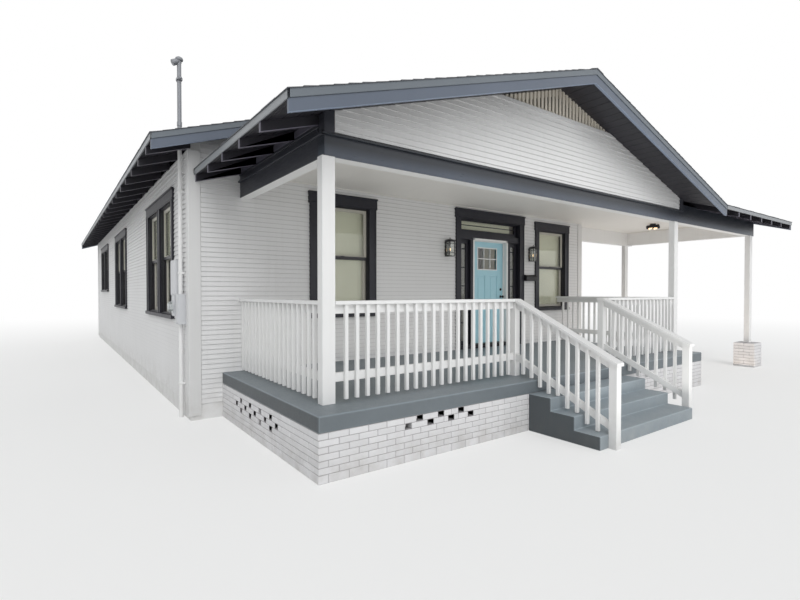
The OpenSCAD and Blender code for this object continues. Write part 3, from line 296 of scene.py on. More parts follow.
def valued(layer):
    """An empty mesh whose faces hold a value."""
    bm = bmesh.new()
    bm.faces.layers.float.new(layer)
    return bm


def piece(name, bm, material, slot, *instead, body="house", smooth=False):
    """Makes a piece of the house from a finished mesh."""
    made = shown(name, bm, material)
    if smooth:
        made.data.shade_smooth()
    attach(made, body)
    if instead:
        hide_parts(*instead)


def shaped(part, corner_at):
    """Adds a block whose corners a function places: it is told which lie on the high sides."""
    corners = bmesh.ops.create_cube(part, size=1)["verts"]
    for corner in corners:
        corner.co = corner_at(*[value > 0 for value in corner.co])
    return corners


def wedge_board(part, left, right, low, high, foot):
    """One board, or a length of one, in a wall seen from outside with its face at y = 0."""
    def corner_at(on_right, behind, above):
        z = high if above else low
        return (right if on_right else left, 0 if behind else (butt - feather) * (z - foot) / lap - butt, z)
    corners = shaped(part, corner_at)
    # A board's own lower edge is darkened underneath: painted shade.
    if low == foot:
        layer = part.faces.layers.float["shade"]
        feet = [set(corner.link_faces) for corner in corners if corner.co.z < (low + high) / 2]
        for face in set.intersection(*feet):
            face[layer] = underside_shade


def courses(bm, left, right, low, high, holes, place, *cuts):
    """Courses of siding between two ends and two levels, cut round holes and trimmed by planes."""
    for row in range(math.ceil((high - siding_foot) / lap)):
        foot = siding_foot + row * lap
        head = min(foot + lap, high)
        if head < low + 0.004:
            continue
        start_z = max(foot, low)
        levels = sorted({start_z, head, *[z for hole in holes for z in hole[2:] if start_z < z < head]})
        part = valued("shade")
        for z0, z1 in zip(levels, levels[1:]):
            shut = sorted(hole[:2] for hole in holes if hole[2] < (z0 + z1) / 2 < hole[3])
            start = left
            for first, last in [*shut, (right, right)]:
                end = min(first, right)
                while end - start > 0.002:
                    stop = min(end, start + board_length)
                    wedge_board(part, start, stop - (board_gap if stop < end else 0), z0, z1, foot)
                    start = stop
                start = max(start, last)
        gather(bm, part, cuts, place)


def roof_cut(slope, side, top, keep=-1):
    """Plane along a roof half, 1 right or -1 left; cuts off what is above it, or below when keep is 1."""
    return (0, 0, top), (-keep * side * slope, 0, -keep)


def pair_holes(side):
    """Openings of a side wall, as seen from outside; side is 1 on the right, -1 on the left."""
    return [(side * y - pair_half, side * y + pair_half, foot, hole_top)
            for y, foot in ((2.05, hole_foot), (7.53, hole_foot), (12.05, small_foot))]


main_cuts = [roof_cut(main_slope, side, main_top) for side in (-1, 1)]
porch_cuts = [roof_cut(porch_slope, side, porch_top) for side in (-1, 1)]
porch_covers = [roof_cut(porch_slope, side, porch_ridge, keep=1) for side in (-1, 1)]
left_hole = (-2.681, -1.489, hole_foot, hole_top)
front_holes = [(-3.985, 3.75, 0, floor_level), (0.3305, 2.2815, 0, 3.305), left_hole,
               (2.674, 3.866, hole_foot, hole_top), (-3.729, -3.597, 3.021, 3.4)]
right_holes = [*pair_holes(1), (0, 0.404, beam_low, 3.36), (0, 0.26, ceiling_z, 3.58)]
front, rear = placed(0, wall_face), placed(0, wall_rear, turn=180)
boards = valued("shade")
for field in (
    (-wall_end, beam_left, 0, 3.45, front_holes, front, porch_cuts[0]),
    (beam_left, wall_end, 0, ceiling_z, front_holes, front),
    (-wall_end, 0, 3.3, gable_top, [], front, porch_covers[0], main_cuts[0]),
    (0, wall_end, 3.66, gable_top, [(3.258, 4.3, 0, 3.666)], front, porch_covers[1], main_cuts[1]),
    (-side_end, -side_start, 0, siding_top, pair_holes(-1), placed(-wall_side, 0, turn=-90)),
    (side_start, side_end, 0, siding_top, right_holes, placed(wall_side, 0, turn=90)),
    (-wall_end, wall_end, 0, gable_top, [left_hole, (1.489, 2.681, hole_foot, hole_top)], rear, *main_cuts),
):
    courses(boards, *field)
siding_paint = paint("siding_paint", (0.75, 0.75, 0.75), sheen=0.5, spread=0.025, stroke=(0.12, 0.12, 1.4),
                     depth=0.0007, dust=0.35, splash=0.6)


def tone_by(material, amount):
    """Scales a finish's color by a value in its node tree."""
    tree = material.node_tree
    color = tree.nodes["Principled BSDF"].inputs["Base Color"]
    tree.links.new(scaled(tree, color.links[0].from_socket, amount), color)


# Painted shade in the crease under each board: a dark line along the top of what shows of every course.
tree = siding_paint.node_tree
courses_up = add(tree, "Math", level_in(tree), 1 / lap, -siding_foot / lap, operation="MULTIPLY_ADD")
along = add(tree, "Math", courses_up, operation="FRACT")
tone_by(siding_paint, add(tree, "MapRange", along, 0.82, 0.97, 1.0, 0.78))
piece("siding", boards, siding_paint, "white_paint")

boards = valued("shade")
courses(boards, -3.629, 3.629, 3.257, 4.204, [], placed(0, beam_front), *porch_cuts)
piece("gable_siding", boards, siding_paint, "white_paint")

boards = valued("shade")
peak = (0, carport_mid, carport_ridge - deck)
courses(boards, beam_inner, rear_beam_inner, 3.359, 3.92, [], placed(beam_right, 0, turn=90),
        (peak, (0, porch_slope, 1)), (peak, (0, -porch_slope, 1)))
piece("carport_gable_siding", boards, siding_paint, "white_paint")

# Corner boards.
# Two planed boards lap each corner of the house and hide the ends of the siding.
# They are nailed on and painted with the walls.


def copy_of(name):
    """A copy of a CAD node's form."""
    bm = bmesh.new()
    bm.from_mesh(solids[name].data)
    bmesh.ops.remove_doubles(bm, verts=bm.verts, dist=0.00002)
    return bm


def eased(name, width, segments=1, worn=0.0, faded=0.0, pale=0.0, ends=None, sides=(0.0, 0.0)):
    """A copy of a CAD node's form with its sharp edges eased.

    Its eased edges may be made paler, as wear and as painted highlight, and all its faces lighter or darker
    as painted light; what faces down, or along the axis ends, may be made paler as painted highlight, and its
    upright sides darker as painted shade: those that face along x, and those that face along y.
    """
    bm = copy_of(name)
    shade = bm.faces.layers.float.new("shade")
    bmesh.ops.dissolve_limit(bm, angle_limit=math.radians(0.5), verts=bm.verts, edges=bm.edges)
    sharp = [edge for edge in bm.edges if len(edge.link_faces) == 2 and edge.calc_face_angle(0) > 0.3]
    rounded = bmesh.ops.bevel(bm, geom=sharp, offset=width, segments=segments, profile=0.5, affect="EDGES",
                              clamp_overlap=True, material=-1)
    for face in bm.faces:
        face[shade] = -faded
    for face in rounded["faces"]:
        face[shade] = -worn
    bm.normal_update()
    for face in bm.faces:
        if face.normal.z < -0.5 or (ends is not None and abs(face.normal[ends]) > 0.9):
            face[shade] -= pale
        if abs(face.normal.z) < 0.3:
            face[shade] += sides[0] if abs(face.normal.x) > 0.7 else sides[1]
    return bm


def dressed(name, node, material, slot, *easing, **looks):
    """A piece that stands for one CAD node, in its eased form."""
    piece(name, eased(node, *easing, **looks), material, slot, node)


trim_paint = paint("trim_paint", (0.8, 0.8, 0.795), sheen=0.4, spread=0.015, stroke=(1.2, 1.2, 0.1),
                   depth=0.0004, dust=0.3)
# The corner boards are darkened a little all over: painted shade.
dressed("corner_trim", "corner_boards", trim_paint, "white_paint", 0.003, faded=-0.14)

# Brick skirt under the porch.
# Half a brick thick, laid in running bond and painted white, with single bricks
# left out here and there so that air passes. The joints are raked back.
brick_rise, joint, brick_depth, brick_pitch, least_brick = 0.062, 0.007, 0.1, 0.2095, 0.035
skirt_left, skirt_right, skirt_front, skirt_mid = -3.985, 3.75, -2.99, 0.358
vent_half, vent_x, vent_step_x, vent_y, vent_step_y = 0.0425, -2.991, 0.144, -0.695, 0.328
dice = random.Random(11)


def block(bm, low, high, ease=0.0, segments=1, place=None, cuts=(), tone=None):
    """Adds a squared block between two corners, its edges eased, put in place and trimmed by planes."""
    part = bmesh.new()
    low, high = Vector(low), Vector(high)
    corners = bmesh.ops.create_cube(part, size=1)["verts"]
    bmesh.ops.scale(part, vec=high - low, verts=corners)
    bmesh.ops.translate(part, vec=(low + high) / 2, verts=corners)
    if ease:
        bmesh.ops.bevel(part, geom=part.edges[:], offset=ease, segments=segments, profile=0.5, affect="EDGES",
                        clamp_overlap=True, material=-1)
    if tone is not None:
        layer = part.faces.layers.float.new("tone")
        for face in part.faces:
            face[layer] = tone
    gather(bm, part, cuts, place)


def brick_row(bm, start, end, face, low, high, gaps, shift, along, inward):
    """One course of bricks along an axis, broken at the gaps, its outer face at face."""
    gaps = sorted((gap - vent_half, gap + vent_half) for gap in gaps if start < gap - vent_half < end)
    for left, right in zip([start] + [gap[1] for gap in gaps], [gap[0] for gap in gaps] + [end]):
        edges = [left]
        step = start + shift
        while step < right - least_brick:
            if step > left + least_brick:
                edges.append(step)
            step += brick_pitch
        edges.append(right)
        for first, last in zip(edges, edges[1:]):
            back = face + inward * dice.uniform(0, 0.0018)
            first += 0 if first == left and left != start else joint / 2
            last -= 0 if last == right and right != end else joint / 2
            near, far = sorted([back, face + inward * brick_depth])
            corners = [(first, near, low), (last, far, high)]
            if along == "y":
                corners = [(near, first, low), (far, last, high)]
            block(bm, *corners, ease=0.0045, tone=dice.uniform(-1, 1))


bricks = valued("tone")
for row in range(-5, 2):
    mid = skirt_mid + brick_rise * row
    low, high = mid - (brick_rise - joint) / 2, mid + (brick_rise - joint) / 2
    low = 0 if row == -5 else low
    front_gaps = [vent_x + vent_step_x * n for n in range(7) if row == n % 2]
    side_gaps = [vent_y - vent_step_y * n for n in range(5) if row == -1]
    side_gaps += [vent_y - vent_step_y * (n + 0.5) for n in range(4) if row in (-2, 0)]
    bonds = [(brick_depth, 1.5 * brick_pitch - brick_depth), (0, brick_pitch)]
    lead, shift = bonds[1 - row % 2]
    brick_row(bricks, skirt_left + lead, skirt_right - lead, skirt_front, low, high, front_gaps, shift,
              "x", 1)
    lead, shift = bonds[row % 2]
    for face, gaps, inward in ((skirt_left, side_gaps, 1), (skirt_right, [], -1)):
        brick_row(bricks, skirt_front + lead, wall_face, face, low, high, gaps, shift, "y", inward)

# Fired face of a brick under its paint: pits, grit and a tone of its own.
gritty, given, end = new_effect("gritty_face", ("Color", "Height"), Color=(1, 1, 1, 1), Scale=60.0,
                                Spread=0.05)
where = add(gritty, "TexCoord", out="Object")
coarse = add(gritty, "TexNoise", where, Scale=given["Scale"], Detail=6.0, Roughness=0.65)
dip = add(gritty, "MapRange", add(gritty, "TexVoronoi", where, Scale=130.0), 0.05, 0.25)
tone = add(gritty, "Attribute", attribute_name="tone", out="Fac")
amount = add(gritty, "Math", tone, given["Spread"], 1.0, operation="MULTIPLY_ADD")
feed(gritty, end, Color=scaled(gritty, given["Color"], amount),
     Height=add(gritty, "Mix", 0.3, A=coarse, B=dip, data_type="FLOAT"))


def masonry(name, color, spread, depth, scale, dust):
    """Painted brick or mortar."""
    material, tree, shader = new_finish(name)
    face = add(tree, "Group", node_tree=gritty, Color=(*color, 1), Spread=spread, Scale=scale).node.outputs
    worn = add(tree, "Group", node_tree=weathered_and_shaded, Color=face["Color"], Amount=dust, Splash=0.35)
    feed(tree, shader, Base_Color=worn, Roughness=0.62, Normal=relief(tree, face["Height"], depth))
    return material


brick_paint = masonry("brick_paint", (0.7, 0.695, 0.705), 0.05, 0.0022, 55, 0.45)
mortar_paint = masonry("mortar_paint", (0.42, 0.41, 0.42), 0.0, 0.003, 90, 0.5)
piece("skirt_bricks", bricks, brick_paint, "brick_paint", "porch_skirt")

# The mortar is the skirt's own form with its outer sides drawn in.
raked = 0.006
mortar = copy_of("porch_skirt")
for vert in mortar.verts:
    if abs(vert.co.x - skirt_left) < 0.002:
        vert.co.x = skirt_left + raked
    elif abs(vert.co.x - skirt_right) < 0.002:
        vert.co.x = skirt_right - raked
    if abs(vert.co.y - skirt_front) < 0.002:
        vert.co.y = skirt_front + raked
piece("skirt_mortar", mortar, mortar_paint, "brick_paint")

# Carport piers.
# Brick columns of eight courses, painted like the skirt, with a mortar wash on top.
# The carport's posts stand on them.
pier_x, pier_half_x, pier_half_y, pier_top = 7.205, 0.225, 0.21, 0.545
post_y, rear_post_y = -2.593, 0.365
bricks, cores = valued("tone"), bmesh.new()
rise = pier_top / 8
for y in (post_y, rear_post_y):
    x0, x1, y0, y1 = pier_x - pier_half_x, pier_x + pier_half_x, y - pier_half_y, y + pier_half_y
    spans = {"x": (x0, x1, pier_half_x), "y": (y0, y1, pier_half_y)}
    for row in range(8):
        low, high = row * rise + joint / 2, (row + 1) * rise - joint / 2
        for along, across in ("xy", "yx"):
            start, end, half = spans[along]
            lead, shift = (brick_depth, 1) if (row % 2 == 1) == (along == "x") else (0, half)
            for face, inward in zip(spans[across], (1, -1)):
                brick_row(bricks, start + lead, end - lead, face, low, high, [], shift, along, inward)
    block(cores, (x0 + 0.009, y0 + 0.009, 0), (x1 - 0.009, y1 - 0.009, pier_top - 0.001), ease=0.004)
piece("pier_bricks", bricks, brick_paint, "brick_paint", "carport_piers")
piece("pier_mortar", cores, mortar_paint, "brick_paint")

# Porch floor and entrance steps.
# Poured concrete with rounded edges, trowelled smooth and coated with gray-blue
# floor paint that is rubbed paler where people walk.
floor_paint, tree, shader = new_finish("floor_paint")
coat = add(tree, "Group", node_tree=brushed, Color=(0.182, 0.212, 0.232, 1), Spread=0.05, Stroke=(1, 1, 1),
           Sheen=0.45).node.outputs
where = add(tree, "TexCoord", out="Object")
walked = add(tree, "TexNoise", where, Scale=1.6, Detail=5.0, Roughness=0.65)
rubbed = add(tree, "MapRange", walked, 0.45, 0.85, To_Max=0.25)
faded = mixed(tree, rubbed, coat["Color"], (0.33, 0.36, 0.39, 1))
worn = add(tree, "Group", node_tree=weathered_and_shaded, Color=faded, Dust=(0.33, 0.33, 0.32, 1), Amount=0.35,
           Splash=0.3)
trowelled = add(tree, "TexNoise", where, Scale=9.0, Detail=6.0, Roughness=0.6)
feed(tree, shader, Base_Color=worn, Roughness=coat["Roughness"], Normal=relief(tree, trowelled, 0.004))
# The floor's upright sides are darkened as painted shade, its eased edges paler. The steps are lightened all
# over as painted sunlight, their eased edges paler, and their left and right sides darkened as painted shade.
dressed("porch_floor", "porch_slab", floor_paint, "floor_paint", 0.016, 4, worn=0.16, sides=(0.6, 0.22))
dressed("entrance_steps", "front_steps", floor_paint, "floor_paint", 0.01, 3, worn=0.6, faded=0.45,
        sides=(1.05, 0.05))

# Posts.
# Square solid timbers, planed, eased along their edges and painted white.
# They carry the beams; those of the carport stand on the piers.
post_half, post_deep, post_left, post_right = 0.07, 0.053, -3.698, 3.494
posts = bmesh.new()
for x, y, foot in ((post_left, post_y, floor_level), (post_right, post_y, floor_level),
                   (pier_x, post_y, pier_top), (pier_x, rear_post_y, pier_top)):
    block(posts, (x - post_half, y - post_deep, foot), (x + post_half, y + post_deep, beam_low), 0.004, 2)
piece("posts", posts, trim_paint, "white_paint", "porch_posts", "carport_posts")

# Railings.
# A flat cap over a rail on edge, a second rail near the floor, and square
# balusters nailed to the outer side of both. All are painted white.
rail_top, cap, cap_half, rail_deep, rail_half, stick = 1.616, 0.038, 0.069, 0.09, 0.019, 0.038
stick_foot, low_rail_foot, low_rail_top, rail_pitch = 0.638, 0.815, 0.905, 0.131


def blocks(bm, place, *rows):
    """Adds squared blocks: two corners, ease of the edges, segments of the ease."""
    for row in rows:
        block(bm, *row, place=place)


def railing(bm, length, place, cap_from=0.0, cap_to=None):
    """A straight railing along local x, its balusters on the side of -y."""
    top = rail_top - cap
    blocks(bm, place, ((cap_from, -cap_half, top), (cap_to or length, cap_half, rail_top), 0.004, 2),
           ((0, -rail_half, top - rail_deep), (length, rail_half, top), 0.003),
           ((0, -rail_half, low_rail_foot), (length, rail_half, low_rail_top), 0.003))
    count = math.ceil(length / rail_pitch)
    for n in range(1, count):
        x = n * length / count - stick / 2
        block(bm, (x, -rail_half - stick, stick_foot), (x + stick, -rail_half, top), 0.0025, 1, place)


rails = bmesh.new()
railing(rails, 2.465, placed(post_left, wall_face, turn=-90))
railing(rails, 2.465, placed(post_right, -2.54, turn=90))
railing(rails, 2.647, placed(-3.628, post_y), cap_to=2.624)
railing(rails, 2.257, placed(1.167, post_y), cap_from=0.023)
piece("porch_railings", rails, trim_paint, "white_paint", "railing_left", "railing_right",
      "railing_front_left", "railing_front_right")

# Handrails of the steps.
# Each slopes from a newel on the porch down to one that stands on the ground, with the
# same cap, rails and balusters as the porch, cut to the slope.
riser, tread, newel_half = 0.152, 0.316, 0.046
rail_slope = riser / tread
rail_head_y = post_y - newel_half


def leaning(axis, slope, rise=0.0):
    """Makes what is level climb along an axis, and lifts it."""
    made = Matrix.Identity(4)
    made[2][axis] = slope
    made[2][3] = rise
    return made


def step_level(y):
    """Height of the porch floor or the tread at y."""
    if y > skirt_front:
        return floor_level
    return riser * max(0, 4 - math.ceil((skirt_front - y) / tread))


def handrail(bm, x, newel_y, outer):
    """A handrail in the plane x, its lower newel at newel_y, its balusters on the side outer."""
    near, far, top = newel_y + newel_half, newel_y - newel_half, rail_top - cap
    back = post_y + newel_half
    sloped = leaning(1, rail_slope, -rail_slope * rail_head_y)
    slope_cut = [((x, rail_head_y, top), (0, -rail_slope, 1))]
    blocks(bm, None, ((x - newel_half, rail_head_y, floor_level), (x + newel_half, back, top), 0.003, 2),
           ((x - cap_half, rail_head_y, top), (x + cap_half, back, rail_top), 0.004, 2))
    block(bm, (x - newel_half, far, 0), (x + newel_half, near, top), 0.003, 2, cuts=slope_cut)
    blocks(bm, sloped, ((x - cap_half, far - 0.018, top), (x + cap_half, rail_head_y, rail_top), 0.004, 2),
           ((x - rail_half, near, top - rail_deep), (x + rail_half, rail_head_y, top), 0.003),
           ((x - rail_half, near, low_rail_foot), (x + rail_half, rail_head_y, low_rail_top), 0.003))
    side = x + outer * (rail_half + stick / 2)
    count = math.ceil((rail_head_y - near) / rail_pitch)
    for n in range(1, count):
        y = rail_head_y - n * (rail_head_y - near) / count
        fall = (rail_head_y - y) * rail_slope
        foot = max(floor_level + 0.101 - fall, step_level(y + stick / 2) + 0.008)
        block(bm, (side - stick / 2, y - stick / 2, foot), (side + stick / 2, y + stick / 2, rail_top),
              0.0025, cuts=slope_cut)


rails = bmesh.new()
handrail(rails, -0.935, -3.984, -1)
handrail(rails, 1.121, -3.846, 1)
piece("step_handrails", rails, trim_paint, "white_paint", "stair_rail_left", "stair_rail_right")

# Beams.
# Built-up timbers boxed in planed boards, painted in dark charcoal; the one across
# the front has a sloped drip cap over its face.
slate_paint = paint("slate_paint", (0.05, 0.061, 0.082), sheen=0.34, spread=0.1, stroke=along_x,
                    depth=0.0012, dust=0.12)
charcoal_paint = paint("charcoal_paint", (0.03, 0.032, 0.042), sheen=0.4, spread=0.08, stroke=along_y,
                       depth=0.0006, dust=0.12)

# Painted shadow of the drip cap: the upper part of the front beam's face is darker, its lower part lighter.
tree = slate_paint.node_tree
tone_by(slate_paint, add(tree, "MapRange", level_in(tree), 3.05, 3.15, 1.3, 0.42))
dressed("front_beam_casing", "front_beam", slate_paint, "charcoal_paint", 0.003)
dressed("left_beam_casing", "left_beam", charcoal_paint, "charcoal_paint", 0.003)
dressed("carport_beam_casing", "carport_side_beam", charcoal_paint, "charcoal_paint", 0.003)
moulding = bmesh.new()
for x, y, z in ((-3.767, -2.66, 3.218), (-3.752, -2.62, 3.24), (-3.748, -2.52, 3.312)):
    block(moulding, (x, y, z), (beam_left, -0.1, z + 0.022), 0.003)
piece("side_beam_moulding", moulding, charcoal_paint, "charcoal_paint")
dressed("carport_rear_beam_casing", "carport_rear_beam", charcoal_paint, "charcoal_paint", 0.003)

# Boxed ends of the porch gable.
# A short upright board at each end of the gable closes the siding against the
# beam and the barge boards, in the dark trim color.
ends = bmesh.new()
for side in (-1, 1):
    for near, y0, y1 in ((3.633, -2.652, beam_front), (3.7335, beam_front, -2.53)):
        x0, x1 = sorted((side * near, side * 3.745))
        block(ends, (x0, y0, 3.233), (x1, y1, 3.6), cuts=[roof_cut(porch_slope, side, porch_top - 0.001)])
piece("gable_end_boards", ends, charcoal_paint, "charcoal_paint")

# Barge boards.
# Planed boards nailed under the edge of the roofs, following their slopes, with a
# paler band on the edge of the roof above them.
barge_paint = paint("barge_paint", (0.098, 0.12, 0.16), sheen=0.38, spread=0.05, stroke=along_x,
                    depth=0.0006, dust=0.12)
# Their undersides and eased edges are lightened: painted highlights.
for name in ("porch_barge", "main_barge"):
    dressed(name, name + "_boards", barge_paint, "slate_paint", 0.0035, worn=0.4, pale=1.2)

# Rafters.
# Sawn timbers notched over the plates, their ends cut plumb beyond the walls,
# painted in the dark trim color with the boards they carry.
soffit_paint = paint("soffit_paint", (0.02, 0.019, 0.025), sheen=0.45, spread=0.08, stroke=along_y,
                     depth=0.0006, dust=0.12)
# Their undersides, cut ends and eased edges are lightened: painted highlights.
for name, node, ends in (("rafters_left", "main_rafters_left", 0), ("rafters_right", "main_rafters_right", 0),
                         ("rafter_ends_porch", "porch_rafters", 0),
                         ("rafter_ends_carport", "carport_rafters", 1)):
    dressed(name, node, soffit_paint, "charcoal_paint", 0.003, worn=4, pale=4, ends=ends)

# Roofs.
# Boards laid side by side over the rafters, asphalt shingles nailed over them in
# courses of split tabs, ridge caps, and painted bands along the edges.
exposure, cap_reach, skin, soffit_board, soffit_width, soffit_pitch = 0.14, 0.14, 0.014, 0.02, 0.139, 0.142
band_set, band_t = 0.008, 0.018
inset = band_set + band_t
behind_band = inset - 0.001
main_edge, main_start, main_end = 4.925, -0.525, 15.47
porch_edge, porch_start, porch_end, porch_break = 4.343, -3.186, -0.075, -3.16
carport_edge, carport_side, valley = 2.046, 8.14, 2.219


def roof_planes(turns, slope, ridge, mid=0.0):
    """Places two roof halves: x runs down from the ridge, y along it, z is the height over the top face."""
    return [placed(0, mid, turn=turn) @ leaning(0, -slope, ridge) for turn in turns]


def shingles(bm, plane, edge, near, start, end, cuts):
    """Courses of tabs from the eave up, between near and edge from the ridge."""
    lower = edge
    while lower > near + 0.01:
        upper = max(lower - exposure, near)
        part = valued("tone")
        layer = part.faces.layers.float["tone"]
        sunk = 0.006 if upper < 0.16 else 0.0
        first = start - dice.uniform(0, 0.2)
        while first < end:
            last = first + dice.choice((0.13, 0.17, 0.22, 0.28, 0.33))
            lip = dice.choice((0.0008, 0.0008, 0.0045)) + sunk
            tone = dice.uniform(-1, 1) * 0.7 + (-0.3 if lip > sunk + 0.002 else 0.25)
            if last > start + 0.004:
                corners = shaped(part, lambda down, far, top: (
                    lower if down else upper, min(last, end) if far else max(first, start),
                    -(lip if down else 0.0085 + sunk * 0.5) if top else -skin))
                for face in {face for corner in corners for face in corner.link_faces}:
                    face[layer] = tone
            first = last
        gather(bm, part, cuts, plane)
        lower = upper


def ridge_caps(bm, planes, start, end):
    """Bent tabs over a ridge, each lapping the one before it."""
    y = start
    while y < end - 0.02:
        tone = dice.uniform(-0.8, 0.8)
        for plane, sign in planes:
            first, last = sorted((sign * y, sign * min(y + exposure, end)))
            part = valued("tone")
            layer = part.faces.layers.float["tone"]
            shaped(part, lambda down, far, top: (
                cap_reach if down else 0, last if far else first,
                (-0.0055 if far == (sign > 0) else -0.0005) if top else -0.011))
            for face in part.faces:
                face[layer] = tone
            gather(bm, part, place=plane)
        y += exposure


def ramp(tree, share, first, second):
    """A color on a ramp between two colors."""
    made = add(tree, "ValToRGB", share)
    made.node.color_ramp.elements[0].color, made.node.color_ramp.elements[1].color = first, second
    return made


# Shingle face: crushed stone grains and a tone for each tab.
shingle_face, tree, shader = new_finish("shingle_face")
where = add(tree, "TexCoord", out="Object")
grain = add(tree, "TexVoronoi", where, Scale=330.0).node.outputs
grains = ramp(tree, grain["Color"], (0.04, 0.043, 0.05, 1), (0.15, 0.156, 0.17, 1))
blotch = add(tree, "MapRange", add(tree, "TexNoise", where, Scale=7.0, Detail=5.0), 0.3, 0.7, 0.82, 1.12)
tone = add(tree, "Attribute", attribute_name="tone", out="Fac")
lift = add(tree, "Math", tone, 0.2, 1.0, operation="MULTIPLY_ADD")
feed(tree, shader, Base_Color=scaled(tree, grains, add(tree, "Math", lift, blotch, operation="MULTIPLY")),
     Roughness=0.9, Normal=relief(tree, grain["Distance"], 0.0012))
felt_face = paint("felt_face", (0.028, 0.028, 0.03), sheen=0.8, dust=0.0)

main_left, main_right = roof_planes((180, 0), main_slope, main_ridge)
porch_left, porch_right = roof_planes((180, 0), porch_slope, porch_ridge)
carport_front, carport_back = roof_planes((-90, 90), porch_slope, carport_ridge, carport_mid)
valley_foot = (valley, carport_mid, 0)
valley_front, valley_back = (valley_foot, (1, 1, 0)), (valley_foot, (1, -1, 0))
past_front, past_back = (valley_foot, (-1, -1, 0)), (valley_foot, (-1, 1, 0))
under_main = ((0, 0, main_top - 0.116), (main_slope, 0, 1))
eave_line, wall_line = main_start - carport_mid, wall_face - carport_mid

# Each field of a roof: plane, edge, least distance from the ridge, its two ends and its cuts.
main_fields = [(main_left, main_edge, 0, -main_end, -main_start, ()),
               (main_right, main_edge, 0, main_start, main_end, ())]
porch_fields = [(porch_left, porch_edge, 0, -porch_end, -porch_start, ()),
                (porch_right, porch_edge, 0, porch_start, porch_break, ()),
                (porch_right, porch_edge, 0, porch_break, carport_mid, (valley_front,)),
                (porch_right, porch_edge, 0, carport_mid, porch_end, (valley_back,))]
carport_fields = [(carport_front, carport_edge, 0, valley, carport_side, (past_front,)),
                  (carport_back, eave_line, 0, -carport_side, -valley, (past_back,)),
                  (carport_back, carport_edge, eave_line, -carport_side, -main_edge, ()),
                  (carport_back, wall_line, eave_line, -main_edge, -valley, (past_back, under_main))]
banded_edges = (main_edge, porch_edge, carport_edge)
banded_ends = [abs(end) for end in (main_start, main_end, porch_start, carport_side)]


def roof(name, label, fields, caps, cap_start, cap_end, *instead):
    """Boards, felt, shingles and caps of one roof; boards and felt stop behind the edge bands."""
    boards, core, cover = bmesh.new(), bmesh.new(), valued("tone")
    for plane, edge, near, start, end, cuts in fields:
        shingles(cover, plane, edge, near, start, end, cuts)
        edge -= behind_band if edge in banded_edges else 0
        start += behind_band if abs(start) in banded_ends else 0
        end -= behind_band if abs(end) in banded_ends else 0
        if end - start < 0.01:
            continue
        if near:
            up = plane.to_3x3() @ Vector((-1, 0, 0))
            cuts = (*cuts, (plane @ Vector((near, 0, 0)), (up.x, up.y, 0)))
        a = 0.002
        while a < edge - 0.02:
            last = min(a + soffit_width, edge)
            block(boards, (a, start, -deck), (last, end, soffit_board - deck), 0.0035, 1, plane, cuts)
            a += soffit_pitch
        block(core, (0, start, soffit_board - deck - 0.001), (edge, end, 0.001 - skin), 0, 1, plane, cuts)
    piece(label + "_boards", boards, soffit_paint, "charcoal_paint", *instead)
    piece(label + "_felt", core, felt_face, "shingles")
    ridge_caps(cover, caps, cap_start, cap_end)
    piece(name + "_shingles", cover, shingle_face, "shingles")


roof("main_roof", "main_roof", main_fields, ((main_left, -1), (main_right, 1)), main_start, main_end,
     "main_roof_left", "main_roof_right")
roof("porch_roof", "porch_roof", porch_fields, ((porch_left, -1), (porch_right, 1)), porch_start, porch_end,
     "porch_roof_left", "porch_roof_right")
roof("carport_roof", "carport_cover", carport_fields, ((carport_front, 1), (carport_back, -1)), valley + 0.02,
     carport_side, "carport_roof")

# Bands along the roofs' edges.
# Narrow painted boards nailed to the ends of the roof boards, under the
# shingles' dark edge, mitred at the eaves and the ridges.
band_low, band_high = -deck - 0.0005, -0.011
bands, eaves = bmesh.new(), bmesh.new()
for plane, edge, end, inward in (
    (main_right, main_edge, main_start, 1), (main_right, main_edge, main_end, -1),
    (main_left, main_edge, -main_start, -1), (main_left, main_edge, -main_end, 1),
    (porch_right, porch_edge, porch_start, 1), (porch_left, porch_edge, -porch_start, -1),
    (carport_front, carport_edge, carport_side, -1), (carport_back, carport_edge, -carport_side, 1),
):
    low, high = sorted((end + inward * band_set, end + inward * inset))
    block(bands, (0, low, band_low), (edge - band_set, high, band_high), 0.0025, 1, plane)
for plane, edge, start, end, cuts in (
    (main_left, main_edge, -main_end, -main_start, ()), (main_right, main_edge, main_start, main_end, ()),
    (porch_left, porch_edge, -porch_end, -porch_start, ()), (porch_right, porch_edge, porch_start, -3.15, ()),
    (carport_front, carport_edge, valley, carport_side, (past_front,)),
    (carport_back, carport_edge, -carport_side, -main_edge, ()),
):
    block(eaves, (edge - inset, start + band_set, band_low), (edge - band_set, end - band_set, band_high),
          0.0025, 1, plane, cuts)
band_paint = paint("band_paint", (0.135, 0.156, 0.178), sheen=0.42, spread=0.05, stroke=along_x,
                   depth=0.0006, dust=0.15)
piece("roof_edge_bands", bands, band_paint, "slate_paint")
# The eave bands take the rake bands' paint drawn lighter: painted sunlight.
sunlit_eave_paint = paint("sunlit_eave_paint", (0.27, 0.285, 0.3), sheen=0.42, spread=0.05, stroke=along_y,
                   depth=0.0006, dust=0.15)
piece("eave_bands", eaves, sunlit_eave_paint, "slate_paint")

